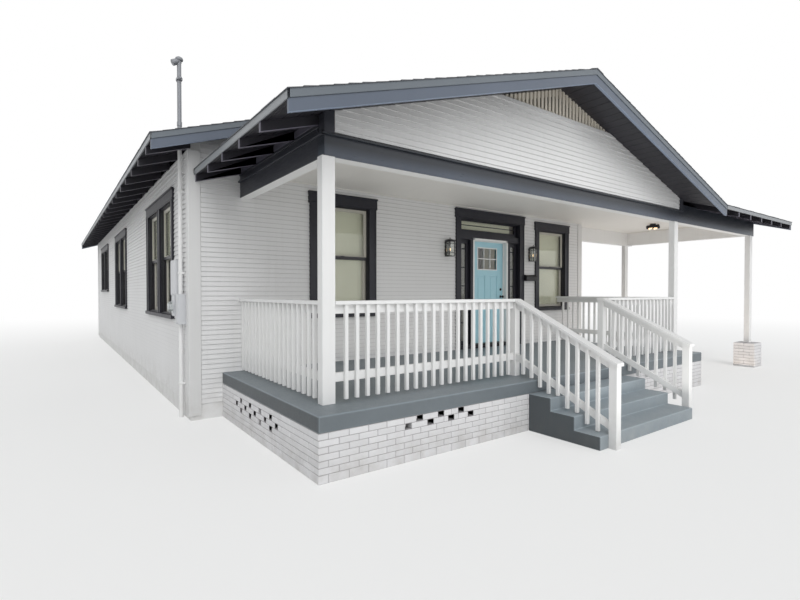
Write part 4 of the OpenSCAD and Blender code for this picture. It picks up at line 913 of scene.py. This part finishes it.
# Gable vent.
# Upright slats of tan board over the top of the gable with dark gaps between them,
# nailed to rails behind and cut off along the roof.
vent_sill, slat_pitch, slat_half = 4.204, 0.08, 0.023
slat_face, slat_back, gable_back = -2.616, -2.596, -2.528
vent_reach = (porch_top - vent_sill) / porch_slope
slats = bmesh.new()
count = int(vent_reach / slat_pitch)
for n in range(-count, count + 1):
    x = n * slat_pitch
    block(slats, (x - slat_half, slat_face, vent_sill), (x + slat_half, slat_back, porch_top), 0.003,
          cuts=porch_cuts)
block(slats, (0.12 - vent_reach, slat_back, vent_sill), (vent_reach - 0.12, gable_back, vent_sill + 0.038),
      0.002)
for side in (-1, 1):
    start, end = sorted((0, side * (vent_reach - 0.25)))
    block(slats, (start, slat_back, -0.076), (end, gable_back, 0), 0.002, 1,
          leaning(0, -side * porch_slope, porch_top))
vent_paint = paint("vent_paint", (0.72, 0.67, 0.58), sheen=0.6, spread=0.06, stroke=(1.4, 1.4, 0.1),
                   depth=0.0007, dust=0.35)
piece("vent_slats", slats, vent_paint, "vent_paint", "gable_vent")

# Porch and carport ceiling.
# Smooth sheets nailed under the joists with fine seams between them, and a small
# rounded moulding along the walls and beams, painted warm white.
sheet_w, sheet_t, cove = 1.22, 0.016, 0.022
inner_left, inner_right = -3.593, 7.135
cove_back, cove_low, cove_high = wall_face - 0.012, ceiling_z - cove, ceiling_z - 0.0005
sheets, coves = bmesh.new(), bmesh.new()
for x, near, far in ((inner_left, beam_inner, wall_face), (wall_side, wall_face, rear_beam_inner)):
    while x < inner_right - 0.001:
        end = min(x + sheet_w, inner_right)
        block(sheets, (x, near, ceiling_z), (end, far, ceiling_z + sheet_t), 0.0015)
        x = end
ceiling_paint = paint("ceiling_paint", (0.76, 0.745, 0.715), sheen=0.5, spread=0.02, depth=0.0003, dust=0.1)
piece("ceiling_sheets", sheets, ceiling_paint, "white_paint", "porch_ceiling")
for x0, x1, y0, y1 in ((inner_left, 4.4, cove_back - cove, cove_back),
                       (inner_left, inner_right, beam_inner, beam_inner + cove),
                       (inner_left, inner_left + cove, beam_inner, cove_back),
                       (inner_right - cove, inner_right, beam_inner, rear_beam_inner)):
    block(coves, (x0, y0, cove_low), (x1, y1, cove_high), 0.007, 3)
piece("ceiling_moulding", coves, ceiling_paint, "white_paint")

# Lining of the beams.
# Thin planed boards under the beams and over their faces towards the porch and
# the carport, painted white like the posts; the beams' outer arris stays dark.
board_t, arris, rear_beam_back = 0.004, 0.008, 0.4
out_left, out_right = beam_left + arris, beam_right - arris
out_front, out_back = beam_front + arris, rear_beam_back - arris
lined = beam_low - board_t
linings = bmesh.new()
for x0, x1, y0, y1, top in (
    (out_left, out_right, out_front, beam_inner, beam_low),
    (out_left, inner_left, beam_inner, wall_face, beam_low),
    (inner_right, out_right, beam_inner, out_back, beam_low),
    (wall_side, inner_right, rear_beam_inner, out_back, beam_low),
    (inner_left, inner_right, beam_inner, beam_inner + board_t, ceiling_z),
    (inner_left, inner_left + board_t, beam_inner + board_t, wall_face, ceiling_z),
    (inner_right - board_t, inner_right, beam_inner + board_t, rear_beam_inner - board_t, ceiling_z),
    (wall_side, inner_right, rear_beam_inner - board_t, rear_beam_inner, ceiling_z),
):
    block(linings, (x0, y0, lined), (x1, y1, top), 0.0008)
piece("beam_linings", linings, trim_paint, "white_paint")

# Windows.
# Wood casings with a raised outer band, an eared head with a cap and a sloping sill.
# Each lined opening holds two sashes, the lower one behind the upper one.
win_half, win_sill, small_sill, win_top, win_mid = 0.48, 1.36, 1.785, 3.08, 2.085
casing_w, casing_t, head_rise, head_ear, band_w = 0.12, 0.032, 0.17, 0.02, 0.024
liner, bar, sash_t, sash_face, wall_t, reveal = 0.022, 0.052, 0.036, 0.039, 0.15, 0.011
mullion_half, pair_mid, meet_rise, blind_half = 0.091, 0.571, 0.045, 0.449


def bars(bm, x0, x1, z0, z1, width, y0, y1, ease, segments=1, place=None):
    """A frame in x and z of four bars, the uprights running through."""
    blocks(bm, place, ((x0, y0, z0), (x0 + width, y1, z1), ease, segments),
           ((x1 - width, y0, z0), (x1, y1, z1), ease, segments),
           ((x0 + width, y0, z0), (x1 - width, y1, z0 + width), ease, segments),
           ((x0 + width, y0, z1 - width), (x1 - width, y1, z1), ease, segments))


def window_casing(bm, mids, sill, place):
    """Casing, head and sill round one or two openings in a wall whose face is y = 0."""
    left, right = mids[0] - win_half, mids[-1] + win_half
    out_left, out_right = left - casing_w, right + casing_w
    head_left, head_right = out_left - head_ear, out_right + head_ear
    low, top, face, proud = sill - 0.045, win_top + head_rise, -casing_t, -casing_t + 0.001
    rows = [((x0, face, low), (x1, 0, win_top), 0.003, 2)
            for x0, x1 in ((out_left, left + reveal), (right - reveal, out_right))]
    rows += [((x, face - 0.01, sill), (x + band_w, proud, win_top), 0.004, 2)
             for x in (out_left, out_right - band_w)]
    if len(mids) == 2:
        inner = mullion_half + reveal
        rows += [((-inner, face, sill), (inner, 0, win_top), 0.003, 2),
                 ((-0.012, face - 0.008, sill), (0.012, proud, win_top), 0.004, 2)]
    rows += [((head_left, face - 0.006, win_top - reveal), (head_right, 0, top - 0.024), 0.003, 2),
             ((head_left - 0.006, face - 0.022, top - 0.026), (head_right + 0.006, 0, top), 0.005, 2),
             ((head_left, face - 0.014, win_top + 0.006), (head_right, 0, win_top + 0.02), 0.004, 2)]
    blocks(bm, place, *rows)
    block(bm, (out_left - 0.014, -0.062, low), (out_right + 0.014, 0.02, sill + reveal), 0.004, 2,
          place @ leaning(1, 0.12))


def window_opening(linings, sashes, beads, mid, sill, place):
    """Lining and stops of an opening, its two sashes, and the narrow strips that hold their panes."""
    left, right, low, top = mid - win_half, mid + win_half, sill, win_top
    meet, half = (sill + win_top) / 2 + meet_rise, bar / 2
    bars(linings, left, right, low, top, liner, 0.0005, wall_t, 0.002, place=place)
    left, right, low, top = left + liner, right - liner, low + liner, top - liner
    bars(linings, left, right, low, top, 0.011, 0.022, sash_face, 0.002, place=place)
    x0, x1 = left + 0.002, right - 0.002
    # The two dark strips across the meeting rail are painted shade, standing for the shadow under the upper
    # sash.
    blocks(linings, place,
           ((x0, sash_face - 0.004, meet - half - 0.004), (x1, sash_face + 0.001, meet + 0.018), 0.002),
           ((x0, sash_face, meet - half - 0.008), (x1, sash_face + sash_t, meet - half + 0.001), 0.002),
           ((mid - 0.03, sash_face - 0.014, meet + 0.01), (mid + 0.03, sash_face, meet + 0.024), 0.004, 2))
    face = sash_face
    for z0, z1 in ((meet - half, top), (low, meet + half)):
        bars(sashes, left, right, z0, z1, bar, face, face + sash_t, 0.003, place=place)
        face += sash_t
    left, right, low, top = left + bar - 0.001, right - bar + 0.001, low + bar, top - bar
    face = sash_face + 0.008
    for z0, z1 in ((meet + half, top), (low, meet - half)):
        bars(beads, left, right, z0 - 0.001, z1 + 0.001, 0.009, face, face + 0.0075, 0.002, place=place)
        face += sash_t


def blind(bm, x0, x1, z0, z1, back, place=None):
    """A slatted blind between two levels: head rail, tilted slats, cords and foot rail."""
    blocks(bm, place, ((x0, back - 0.014, z1 - 0.03), (x1, back + 0.014, z1), 0.003),
           ((x0, back - 0.01, z0), (x1, back + 0.01, z0 + 0.014), 0.003))
    z = z0 + 0.026
    while z < z1 - 0.04:
        tilted = (place or Matrix.Identity(4)) @ placed(0, back, z, -66, "X")
        block(bm, (x0 + 0.002, -0.0125, -0.0008), (x1 - 0.002, 0.0125, 0.0008), 0, 1, tilted)
        z += 0.0215
    for x in (x0 + 0.12, x1 - 0.12):
        block(bm, (x - 0.001, back - 0.0085, z0), (x + 0.001, back - 0.007, z1), 0, 1, place)


windows = [(placed(x, wall_face), (0,), win_sill, win_sill, 0.128) for x in (-win_mid, 3.27)]
windows += [(placed(x, wall_rear, turn=180), (0,), win_sill, win_sill, 0.128) for x in (-win_mid, win_mid)]
windows += [(placed(side * wall_side, y, turn=90 * side), (-pair_mid, pair_mid), sill,
             (sill + win_top) / 2 + 0.056, 0.094)
            for y, sill in ((2.05, win_sill), (7.53, win_sill), (12.05, small_sill)) for side in (-1, 1)]
casings, linings, sashes, beads, blinds = [bmesh.new() for _ in range(5)]
for place, mids, sill, blind_foot, blind_back in windows:
    window_casing(casings, mids, sill, place)
    for mid in mids:
        window_opening(linings, sashes, beads, mid, sill, place)
        blind(blinds, mid - blind_half, mid + blind_half, blind_foot + liner, win_top - liner, blind_back,
              place)
casing_paint = paint("casing_paint", (0.012, 0.012, 0.02), sheen=0.44, spread=0.08, stroke=along_z,
                     depth=0.0006, dust=0.15)
lining_paint = paint("lining_paint", (0.018, 0.018, 0.022), sheen=0.35, spread=0.08, depth=0.0004, dust=0.1)
sash_paint = paint("sash_paint", (0.52, 0.5, 0.44), sheen=0.4, spread=0.03, depth=0.0003, dust=0.15)
blind_paint = paint("blind_paint", (0.84, 0.8, 0.65), spread=0.04, depth=0.0002, dust=0.15, splash=0.1)
piece("window_casings", casings, casing_paint, "charcoal_paint", "window_frames")
piece("window_linings", linings, lining_paint, "charcoal_paint")
piece("window_sashes", sashes, sash_paint, "white_paint")
piece("window_beads", beads, sash_paint, "white_paint")
piece("window_blinds", blinds, blind_paint, "white_paint")

# Window glass.
# Clear panes with the faint waves of older glass and a little dust. Daylight
# passes through them to the blinds and rooms behind.
glass, tree, shader = new_finish("pane_glass")
where = add(tree, "TexCoord", out="Object")
film = add(tree, "TexNoise", where, Scale=2.2, Detail=5.0, Roughness=0.6)
wave = add(tree, "TexNoise", where, Scale=5.0, Detail=1.0)
feed(tree, shader, Transmission_Weight=1.0, IOR=1.45,
     Base_Color=mixed(tree, film, (0.95, 0.965, 0.945, 1), (0.87, 0.88, 0.85, 1)),
     Roughness=add(tree, "MapRange", film, 0.4, 0.8, 0.01, 0.07), Normal=relief(tree, wave, 0.0008))
rays = add(tree, "LightPath").node.outputs
through = add(tree, "Math", rays["Is Shadow Ray"], rays["Is Diffuse Ray"], operation="MAXIMUM")
clear = add(tree, "BsdfTransparent", (0.92, 0.95, 0.94, 1))
feed(tree, tree.nodes["Material Output"], add(tree, "MixShader", through, shader.outputs["BSDF"], clear))
coat_solid(glass, "window_glass", "door_glass")

# Door frame, side lights and transom.
# A dark wood frame with white jambs round the leaf, a casing like the windows',
# a sloping sill, and fixed panes beside and over the door.
unit_left, unit_right, unit_top = 0.4465, 2.1655, 3.14
jamb_left, jamb_right, jamb_w, head_z, step_z, floor_z = 0.805, 1.807, 0.036, 2.734, 0.678, 0.65
light_left, light_right, light_foot, light_top = 0.5385, 2.0735, 0.748, 2.664
transom_foot, transom_top = 2.924, 3.1
coat_solid(casing_paint, "door_frame")
frame_trim = bmesh.new()
case_left, case_right = unit_left - casing_w, unit_right + casing_w
head_left, head_right = case_left - head_ear, case_right + head_ear
face = wall_face - casing_t
for x in (case_left, case_right - band_w):
    block(frame_trim, (x, face - 0.01, 0.612), (x + band_w, face + 0.001, unit_top), 0.004, 2)
top = unit_top + head_rise
blocks(frame_trim, None,
       ((head_left - 0.006, face - 0.022, top - 0.026),
        (head_right + 0.006, wall_face, top + 0.0005), 0.005, 2),
       ((head_left - 0.0005, face - 0.014, unit_top + 0.006),
        (head_right + 0.0005, wall_face, unit_top + 0.02), 0.004, 2),
       ((unit_left + 0.003, -0.118, 0.6085), (unit_right - 0.003, wall_face + 0.001, 0.66), 0.006, 2),
       ((light_left, -0.008, 3.01), (light_right, 0.0015, 3.024), 0.002))
side_lights = ((light_left, 0.665), (1.947, light_right))
panels = bmesh.new()
for x0, x1 in side_lights:
    bars(frame_trim, x0 - 0.001, x1 + 0.001, light_foot - 0.001, light_top + 0.001, 0.01, -0.012, 0.0015,
         0.002)
    for n in range(5):
        z = 1.11 + 0.36 * n
        block(frame_trim, (x0, -0.008, z - 0.01), (x1, 0.0015, z + 0.01), 0.002)
    block(panels, (x0 + 0.003, 0.0125, light_foot + 0.003), (x1 - 0.003, 0.0165, light_top - 0.003), 0.001)
bars(frame_trim, light_left - 0.001, light_right + 0.001, transom_foot - 0.001, transom_top + 0.001, 0.008,
     -0.012, 0.0015, 0.002)
piece("door_frame_trim", frame_trim, casing_paint, "charcoal_paint")
jambs = bmesh.new()
proud, stop_w = 0.002, 0.014
out_face, clear_left, clear_right = wall_face - proud, jamb_left + jamb_w, jamb_right - jamb_w
for x0, x1, z in ((jamb_left, clear_left, step_z), (clear_right, jamb_right, step_z),
                  (jamb_left, jamb_right, head_z - proud)):
    block(jambs, (x0 - proud, out_face, z), (x1 + proud, 0.0765, head_z + jamb_w), 0.002, 2)
for x in (clear_left, clear_right - stop_w):
    block(jambs, (x, 0.008, step_z), (x + stop_w, 0.0265, head_z), 0.002)
block(jambs, (clear_left, 0.008, head_z - stop_w), (clear_right, 0.0265, head_z), 0.002)
piece("door_jambs", jambs, trim_paint, "white_paint")
threshold, shades = bmesh.new(), bmesh.new()
block(threshold, (clear_left, -0.112, floor_z + 0.008), (clear_right, 0.062, 0.6795), 0.005, 2)
for y in (-0.085, -0.065, -0.045, -0.025):
    block(threshold, (clear_left + 0.01, y, 0.679), (clear_right - 0.01, y + 0.006, 0.6812), 0.001)
blind(shades, light_left - 0.02, 1.995, transom_foot - 0.03, transom_top + 0.02, 0.058)
piece("transom_blind", shades, blind_paint, "white_paint")
panel_paint = paint("panel_paint", (0.2, 0.185, 0.175), sheen=0.7, spread=0.05, stroke=(60, 60, 0.5),
                    depth=0.0004, dust=0.1)
piece("side_light_panels", panels, panel_paint, "white_paint")

# Front door.
# A wood leaf with two tall sunk panels under a window that white bars part into
# six. Strips run round the panels. It swings inward on three hinges.
leaf_face, leaf_back, panel_foot, panel_top, panel_sink, field_in = 0.03, 0.075, 0.926, 2.046, 0.01, 0.04
pane_left, pane_right, pane_foot, pane_top, edge_bar, bar_half = 1.041, 1.571, 2.176, 2.591, 0.022, 0.009
door_paint = paint("door_paint", (0.385, 0.65, 0.74), sheen=0.38, spread=0.03, stroke=(1.3, 1.3, 0.09),
                   depth=0.0006, dust=0.1)
leaf = eased("front_door", 0.002, 2)
for x0, x1 in ((1.009, 1.246), (1.366, 1.603)):
    for y0, y1 in ((leaf_face + 0.001, leaf_face + panel_sink + 0.0005),
                   (leaf_back - panel_sink - 0.0005, leaf_back - 0.001)):
        bars(leaf, x0 - 0.0005, x1 + 0.0005, panel_foot - 0.0005, panel_top + 0.0005, 0.014, y0, y1, 0.0045,
             2)
        block(leaf, (x0 + field_in, y0 + 0.0015, panel_foot + field_in),
              (x1 - field_in, y1 - 0.0005, panel_top - field_in), 0.0035, 2)
piece("door_leaf", leaf, door_paint, "door_paint", "front_door", body="door")
grille = bmesh.new()
middle = (pane_foot + pane_top) / 2
for y0, y1, sunk0, sunk1 in ((leaf_face - 0.005, 0.049, 0.006, 0), (0.056, leaf_back + 0.005, 0, 0.006)):
    bars(grille, pane_left - edge_bar, pane_right + edge_bar, pane_foot - edge_bar, pane_top + edge_bar,
         edge_bar, y0, y1, 0.004, 2)
    y0, y1 = y0 + sunk0, y1 - sunk1
    for n in (1, 2):
        x = pane_left + n * (pane_right - pane_left) / 3
        block(grille, (x - bar_half, y0, pane_foot), (x + bar_half, y1, pane_top), 0.004, 2)
    block(grille, (pane_left, y0, middle - bar_half), (pane_right, y1, middle + bar_half), 0.004, 2)
piece("door_grille", grille, trim_paint, "white_paint", body="door")

# Lock set and hinges.
# A round knob under a deadbolt, on round plates on both faces of the leaf, and
# three hinges, all of black painted metal.


def turned(bm, profile, place, steps=24):
    """A shape turned round its own z axis from points of radius and height."""
    part = bmesh.new()
    line = [part.verts.new((radius, 0, height)) for radius, height in profile]
    edges = [part.edges.new(pair) for pair in zip(line, line[1:])]
    bmesh.ops.spin(part, geom=line + edges, cent=(0, 0, 0), axis=(0, 0, 1), angle=math.tau, steps=steps,
                   use_merge=True, use_duplicate=False)
    bmesh.ops.remove_doubles(part, verts=part.verts, dist=0.00001)
    bmesh.ops.transform(part, matrix=place, verts=part.verts)
    bmesh.ops.recalc_face_normals(part, faces=part.faces)
    gather(bm, part)


def metal(name, color, sheen, spread=0.06):
    """Painted or bare metal with faint wear."""
    return paint(name, color, sheen, spread, depth=0.0002, dust=0.15, splash=0.2, metallic=0.35)


black_metal = metal("black_metal", (0.018, 0.018, 0.02), 0.34)
lock_x, knob_z, bolt_z = 1.701, 1.616, 1.766
knob = [(0, 0), (0.028, 0), (0.028, 0.004), (0.023, 0.01), (0.011, 0.012), (0.01, 0.036), (0.016, 0.043),
        (0.026, 0.054), (0.028, 0.064), (0.024, 0.076), (0.014, 0.084), (0, 0.086)]
bolt = [(0, 0), (0.028, 0), (0.028, 0.006), (0.022, 0.013), (0.014, 0.015), (0.013, 0.019), (0, 0.019)]
locks = bmesh.new()
for face, lean in ((leaf_face, 90), (leaf_back, -90)):
    turned(locks, knob, placed(lock_x, face, knob_z, lean, "X"))
    turned(locks, bolt, placed(lock_x, face, bolt_z, lean, "X"))
block(locks, (lock_x - 0.004, leaf_back + 0.019, bolt_z - 0.016),
      (lock_x + 0.004, leaf_back + 0.032, bolt_z + 0.016), 0.003, 2)
piece("lock_set", locks, black_metal, "black_metal", "door_handle", body="door", smooth=True)
piece("door_threshold", threshold, black_metal, "black_metal")
coat_solid(black_metal, "door_hinges")

# Wall lanterns.
# One on each side of the entrance: a black metal cage under a flared roof, held off
# the wall by an arm, with clear panes round a candle with a lit bulb.
lantern_z, lantern_y, cage, top, pane = 2.513, -0.174, 0.065, 0.14, 0.0515
post, rail_end = cage - 0.006, cage - 0.008
flare = [(0, 0), (0.0995, 0), (0.0995, 0.012), (0.09, 0.018), (0.064, 0.028), (0.04, 0.036), (0.016, 0.044),
         (0, 0.045)]
ball = [(0, 0), (0.004, 0.001), (0.005, 0.008), (0.009, 0.014), (0.009, 0.018), (0.004, 0.024), (0, 0.0245)]
tube = [(0, 0), (0.021, 0), (0.02, 0.006), (0.013, 0.009), (0.012, 0.088), (0, 0.088)]
flame = [(0, 0), (0.008, 0), (0.009, 0.01), (0.0155, 0.028), (0.014, 0.04), (0.006, 0.056), (0, 0.06)]
lanterns, lantern_glass, candles, bulbs = [bmesh.new() for _ in range(4)]
for x in (0.1055, 2.5065):
    at = placed(x, lantern_y, lantern_z)
    blocks(lanterns, at, ((-0.05, 0.073, -top), (0.05, 0.099, top), 0.005, 2),
           ((-0.034, 0.066, -top + 0.02), (0.034, 0.074, top - 0.02), 0.004, 2),
           ((-0.009, 0, top), (0.009, 0.07, top + 0.012), 0.003, 2),
           ((-0.006, 0.05, top - 0.05), (0.006, 0.07, top - 0.038), 0.003, 2),
           *[((-cage, -cage, z), (cage, cage, z + 0.01), 0.002) for z in (-top, top - 0.01)],
           *[((dx - 0.005, dy - 0.005, -top), (dx + 0.005, dy + 0.005, top), 0.001)
             for dx in (-post, post) for dy in (-post, post)])
    for side in (-1, 1):
        y = side * post
        for z in (-0.07, 0.095):
            blocks(lanterns, at, ((-rail_end, y - 0.003, z), (rail_end, y + 0.003, z + 0.006), 0.001),
                   ((y - 0.003, -rail_end, z), (y + 0.003, rail_end, z + 0.006), 0.001))
        y = side * pane
        blocks(lantern_glass, at, ((-pane, y - 0.001, -top + 0.01), (pane, y + 0.001, top - 0.01)),
               ((y - 0.001, -pane + 0.002, -top + 0.01), (y + 0.001, pane - 0.002, top - 0.01)))
    turned(lanterns, flare, at @ placed(0, 0, top, 45), steps=4)
    for bm, profile, z in ((lanterns, ball, top + 0.042), (candles, tube, -top + 0.0095),
                           (bulbs, flame, -top + 0.097)):
        turned(bm, profile, at @ placed(0, 0, z), steps=16)
piece("wall_lanterns", lanterns, black_metal, "black_metal", "lanterns")
piece("lantern_panes", lantern_glass, glass, "glass")
candle_paint = paint("candle_paint", (0.72, 0.69, 0.6), spread=0.03, depth=0.0002, dust=0.0)
piece("lantern_candles", candles, candle_paint, "white_paint")
lit_glass, tree, shader = new_finish("lit_glass")
glow = add(tree, "TexNoise", add(tree, "TexCoord", out="Object"), Scale=40.0, Detail=2.0)
warm = ramp(tree, glow, (1.0, 0.62, 0.3, 1), (1.0, 0.8, 0.52, 1))
feed(tree, shader, Base_Color=warm, Emission_Color=warm, Emission_Strength=1.6, Roughness=0.25)
piece("lantern_bulbs", bulbs, lit_glass, "glass", smooth=True)

# Mailbox.
# A long black metal box hung on the wall beside the door, with a rounded lid
# hinged at the back that laps its front.
box_left, box_right, box_back, box_face, box_foot, box_brow = 2.2935, 2.6555, -0.0865, -0.175, 1.95, 2.035
lid_foot, lip_foot, lid_rise, box_mid = box_brow - 0.014, box_brow - 0.024, 0.064, (box_left + box_right) / 2
mail, lid = bmesh.new(), bmesh.new()
block(mail, (box_left + 0.003, box_face + 0.004, box_foot), (box_right - 0.003, box_back, box_brow), 0.004, 2)
bend = [math.radians(angle) for angle in range(0, 91, 10)]
outline = [(box_back, lid_foot),
           *[(box_back - (box_back - box_face) * math.sin(a), lid_foot + lid_rise * math.cos(a))
             for a in bend],
           (box_face, lip_foot), (box_face + 0.003, lip_foot), (box_face + 0.003, lid_foot)]
side_face = lid.faces.new([lid.verts.new((box_left, y, z)) for y, z in outline])
grown = bmesh.ops.extrude_face_region(lid, geom=[side_face], use_keep_orig=True)
moved = [item for item in grown["geom"] if isinstance(item, bmesh.types.BMVert)]
bmesh.ops.translate(lid, vec=(box_right - box_left, 0, 0), verts=moved)
bmesh.ops.recalc_face_normals(lid, faces=lid.faces)
gather(mail, lid)
block(mail, (box_mid - 0.018, box_face - 0.003, box_brow - 0.034),
      (box_mid + 0.018, box_face + 0.002, box_brow - 0.02), 0.002, 2)
for x in (box_left + 0.045, box_right - 0.065):
    block(mail, (x, box_back - 0.001, box_foot - 0.0005), (x + 0.02, wall_face, box_brow), 0.001)
piece("wall_mailbox", mail, black_metal, "black_metal", "mailbox")

# Ceiling light of the carport.
# An open black ring hung from a round plate by two crossed bars that hold four
# clear bulbs.
ring_r, ring_low, ring_high, ring_t, holder_out = 0.15, 3.246, 3.306, 0.008, 0.08
at = placed(5.84, -1.075)
arm, plate_low = ring_r - 0.002, ceiling_z - 0.025
plate = [(0, ceiling_z), (0, plate_low), (0.052, plate_low), (0.065, ceiling_z - 0.018), (0.065, ceiling_z),
         (0, ceiling_z)]
hoop = [(ring_r - ring_t, ring_low), (arm, ring_low), (ring_r, ring_low + 0.003), (ring_r, ring_high - 0.003),
        (arm, ring_high), (ring_r - ring_t, ring_high), (ring_r - ring_t, ring_low)]
holder = [(0, 0), (0.014, 0), (0.014, -0.022), (0.01, -0.026), (0, -0.026)]
globe = [(0, 0), (0.009, 0), (0.011, -0.008), (0.021, -0.024), (0.023, -0.034), (0.018, -0.046),
         (0.008, -0.054), (0, -0.055)]
ring_light, clear_bulbs = bmesh.new(), bmesh.new()
turned(ring_light, plate, at, steps=32)
turned(ring_light, hoop, at, steps=48)
for x, y in ((0.008, arm), (arm, 0.008)):
    block(ring_light, (-x, -y, ring_high - 0.004), (x, y, ceiling_z - 0.024), 0.002, 1, at)
for n in range(4):
    spot = at @ placed(0, 0, turn=90 * n) @ placed(holder_out, 0, ring_high)
    turned(ring_light, holder, spot, steps=16)
    turned(clear_bulbs, globe, spot @ placed(0, 0, -0.025), steps=16)
piece("carport_light", ring_light, black_metal, "black_metal", "ceiling_light")
piece("carport_light_bulbs", clear_bulbs, lit_glass, "glass", smooth=True)

# Electric service.
# Painted steel boxes and a meter on the left wall, joined to a steel mast that
# straps hold to the wall and that passes the roof in a collar.
mast_x, mast_y, mast_r, mast_top, mast_joint = -4.447, 0.225, 0.027, 4.83, 3.7
clamp_z, clamp, box_out, lid_gap, wall_left = 4.56, 0.036, 0.11, 0.012, -wall_side
outer = wall_left - box_out
meter_at = placed(outer, 0.46, 1.5, -90, "Y")
service, meter, dial, mast, riser_pipe = [bmesh.new() for _ in range(5)]
for y0, y1, z0, z1 in ((0.3, 0.62, 1.66, 2.144), (0.1, 0.29, 1.27, 1.674),
                       (0.37, 0.55, 1.37, 1.655)):
    mid = (y0 + y1) / 2
    blocks(service, None, ((outer + 0.006, y0, z0), (wall_left, y1, z1), 0.004, 2),
           ((outer, y0 + lid_gap, z0 + lid_gap), (outer + 0.008, y1 - lid_gap, z1 - lid_gap), 0.003, 2),
           ((outer - 0.006, mid - 0.012, z0 + 0.004), (outer + 0.004, mid + 0.012, z0 + 0.03), 0.002),
           ((outer + 0.004, y0 - 0.003, z1 - 0.004), (wall_left, y1 + 0.003, z1 + 0.006), 0.002))
turned(service, [(0.08, 0), (0.088, 0), (0.088, 0.014), (0.08, 0.014), (0.08, 0)], meter_at, steps=32)
turned(service, [(0, 0), (0.02, 0), (0.02, 0.03), (0, 0.03)],
       placed(wall_left - box_out / 2, 0.28, 1.64, -90, "X"))
service_paint = metal("service_paint", (0.6, 0.61, 0.63), 0.42, spread=0.04)
piece("service_boxes", service, service_paint, "box_metal", "electric_service")
dome = [(0, 0), (0.079, 0), (0.079, 0.03), (0.074, 0.05), (0.058, 0.06), (0, 0.06)]
turned(meter, dome, meter_at, steps=32)
piece("meter_dome", meter, glass, "glass", smooth=True)
block(dial, (outer - 0.035, 0.415, 1.47), (outer + 0.001, 0.505, 1.535), 0.004, 2)
piece("meter_works", dial, service_paint, "box_metal")
bore, rim = mast_r - 0.001, mast_r + 0.004
pipe = [(0, mast_joint), (mast_r, mast_joint), (mast_r, mast_top), (0, mast_top)]
head = [(0, 0), (rim, 0), (rim, 0.02), (0.048, 0.03), (0.052, 0.046), (0.044, 0.066), (0.022, 0.08),
        (0, 0.082)]
hood = [(0, 0), (0.036, 0), (0.04, 0.06), (0.042, 0.095), (0.036, 0.1), (0, 0.1)]
sleeve = [(bore, 0), (mast_r + 0.005, 0), (mast_r + 0.005, 0.055), (bore, 0.055), (bore, 0)]
collar = [(bore, -0.02), (0.11, -0.01), (0.11, -0.004), (0.062, 0.004), (0.044, 0.05), (bore, 0.062),
          (bore, -0.02)]
insulator = [(0, 0), (0.006, 0), (0.006, 0.018), (0.02, 0.022), (0.014, 0.032), (0.02, 0.042), (0.01, 0.05),
             (0, 0.05)]
for profile, z, lean in ((pipe, 0, 0), (head, mast_top - 0.03, 0), (hood, mast_top, -120), (sleeve, 3.95, 0)):
    turned(mast, profile, placed(mast_x, mast_y, z, lean, "Y"))
turned(mast, collar, placed(mast_x, mast_y, main_ridge + main_slope * mast_x) @ leaning(0, main_slope))
block(mast, (mast_x - clamp, mast_y - clamp, clamp_z),
      (mast_x + clamp, mast_y + clamp, clamp_z + 0.034), 0.004, 2)
for side in (-1, 1):
    turned(mast, insulator, placed(mast_x, mast_y + side * clamp, clamp_z + 0.017, -90 * side, "X"), steps=16)
turned(riser_pipe, [(0, 0), (mast_r, 0), (mast_r, mast_joint), (0, mast_joint)], placed(mast_x, mast_y))
for z in (0.9, 2.35):
    turned(riser_pipe, sleeve, placed(mast_x, mast_y, z))
strap = mast_r + 0.003
for z in (0.45, 1.95, 3.05):
    blocks(riser_pipe, None,
           ((mast_x - strap, mast_y - strap, z), (wall_left, mast_y + strap, z + 0.03), 0.003),
           ((wall_left - 0.016, mast_y - 0.062, z), (wall_left - 0.01, mast_y + 0.062, z + 0.03), 0.002))
mast_metal = metal("mast_metal", (0.26, 0.27, 0.29), 0.45, spread=0.08)
piece("service_riser", riser_pipe, trim_paint, "box_metal")
piece("service_mast", mast, mast_metal, "box_metal")

# House floor.
# Narrow oak boards laid along the house, seen through the windows and the open door.
oak, tree, shader = new_finish("oak_boards")
where = add(tree, "TexCoord", out="Object")
laid = add(tree, "TexBrick", add(tree, "Mapping", where, Rotation=(0, 0, math.radians(90))),
           Color1=(0.3, 0.17, 0.085, 1), Color2=(0.22, 0.12, 0.06, 1), Mortar=(0.05, 0.03, 0.02, 1),
           Scale=1.0, Mortar_Size=0.0012, Brick_Width=1.1, Row_Height=0.083)
drawn = add(tree, "Mapping", where, Scale=(9.0, 0.6, 1.0))
figure = add(tree, "TexNoise", drawn, Scale=9.0, Detail=6.0, Roughness=0.6)
feed(tree, shader, Base_Color=scaled(tree, laid, add(tree, "MapRange", figure, 0.3, 0.7, 0.8, 1.15)),
     Roughness=0.35, Normal=relief(tree, figure, 0.0005))
coat_solid(oak, "house_floor")
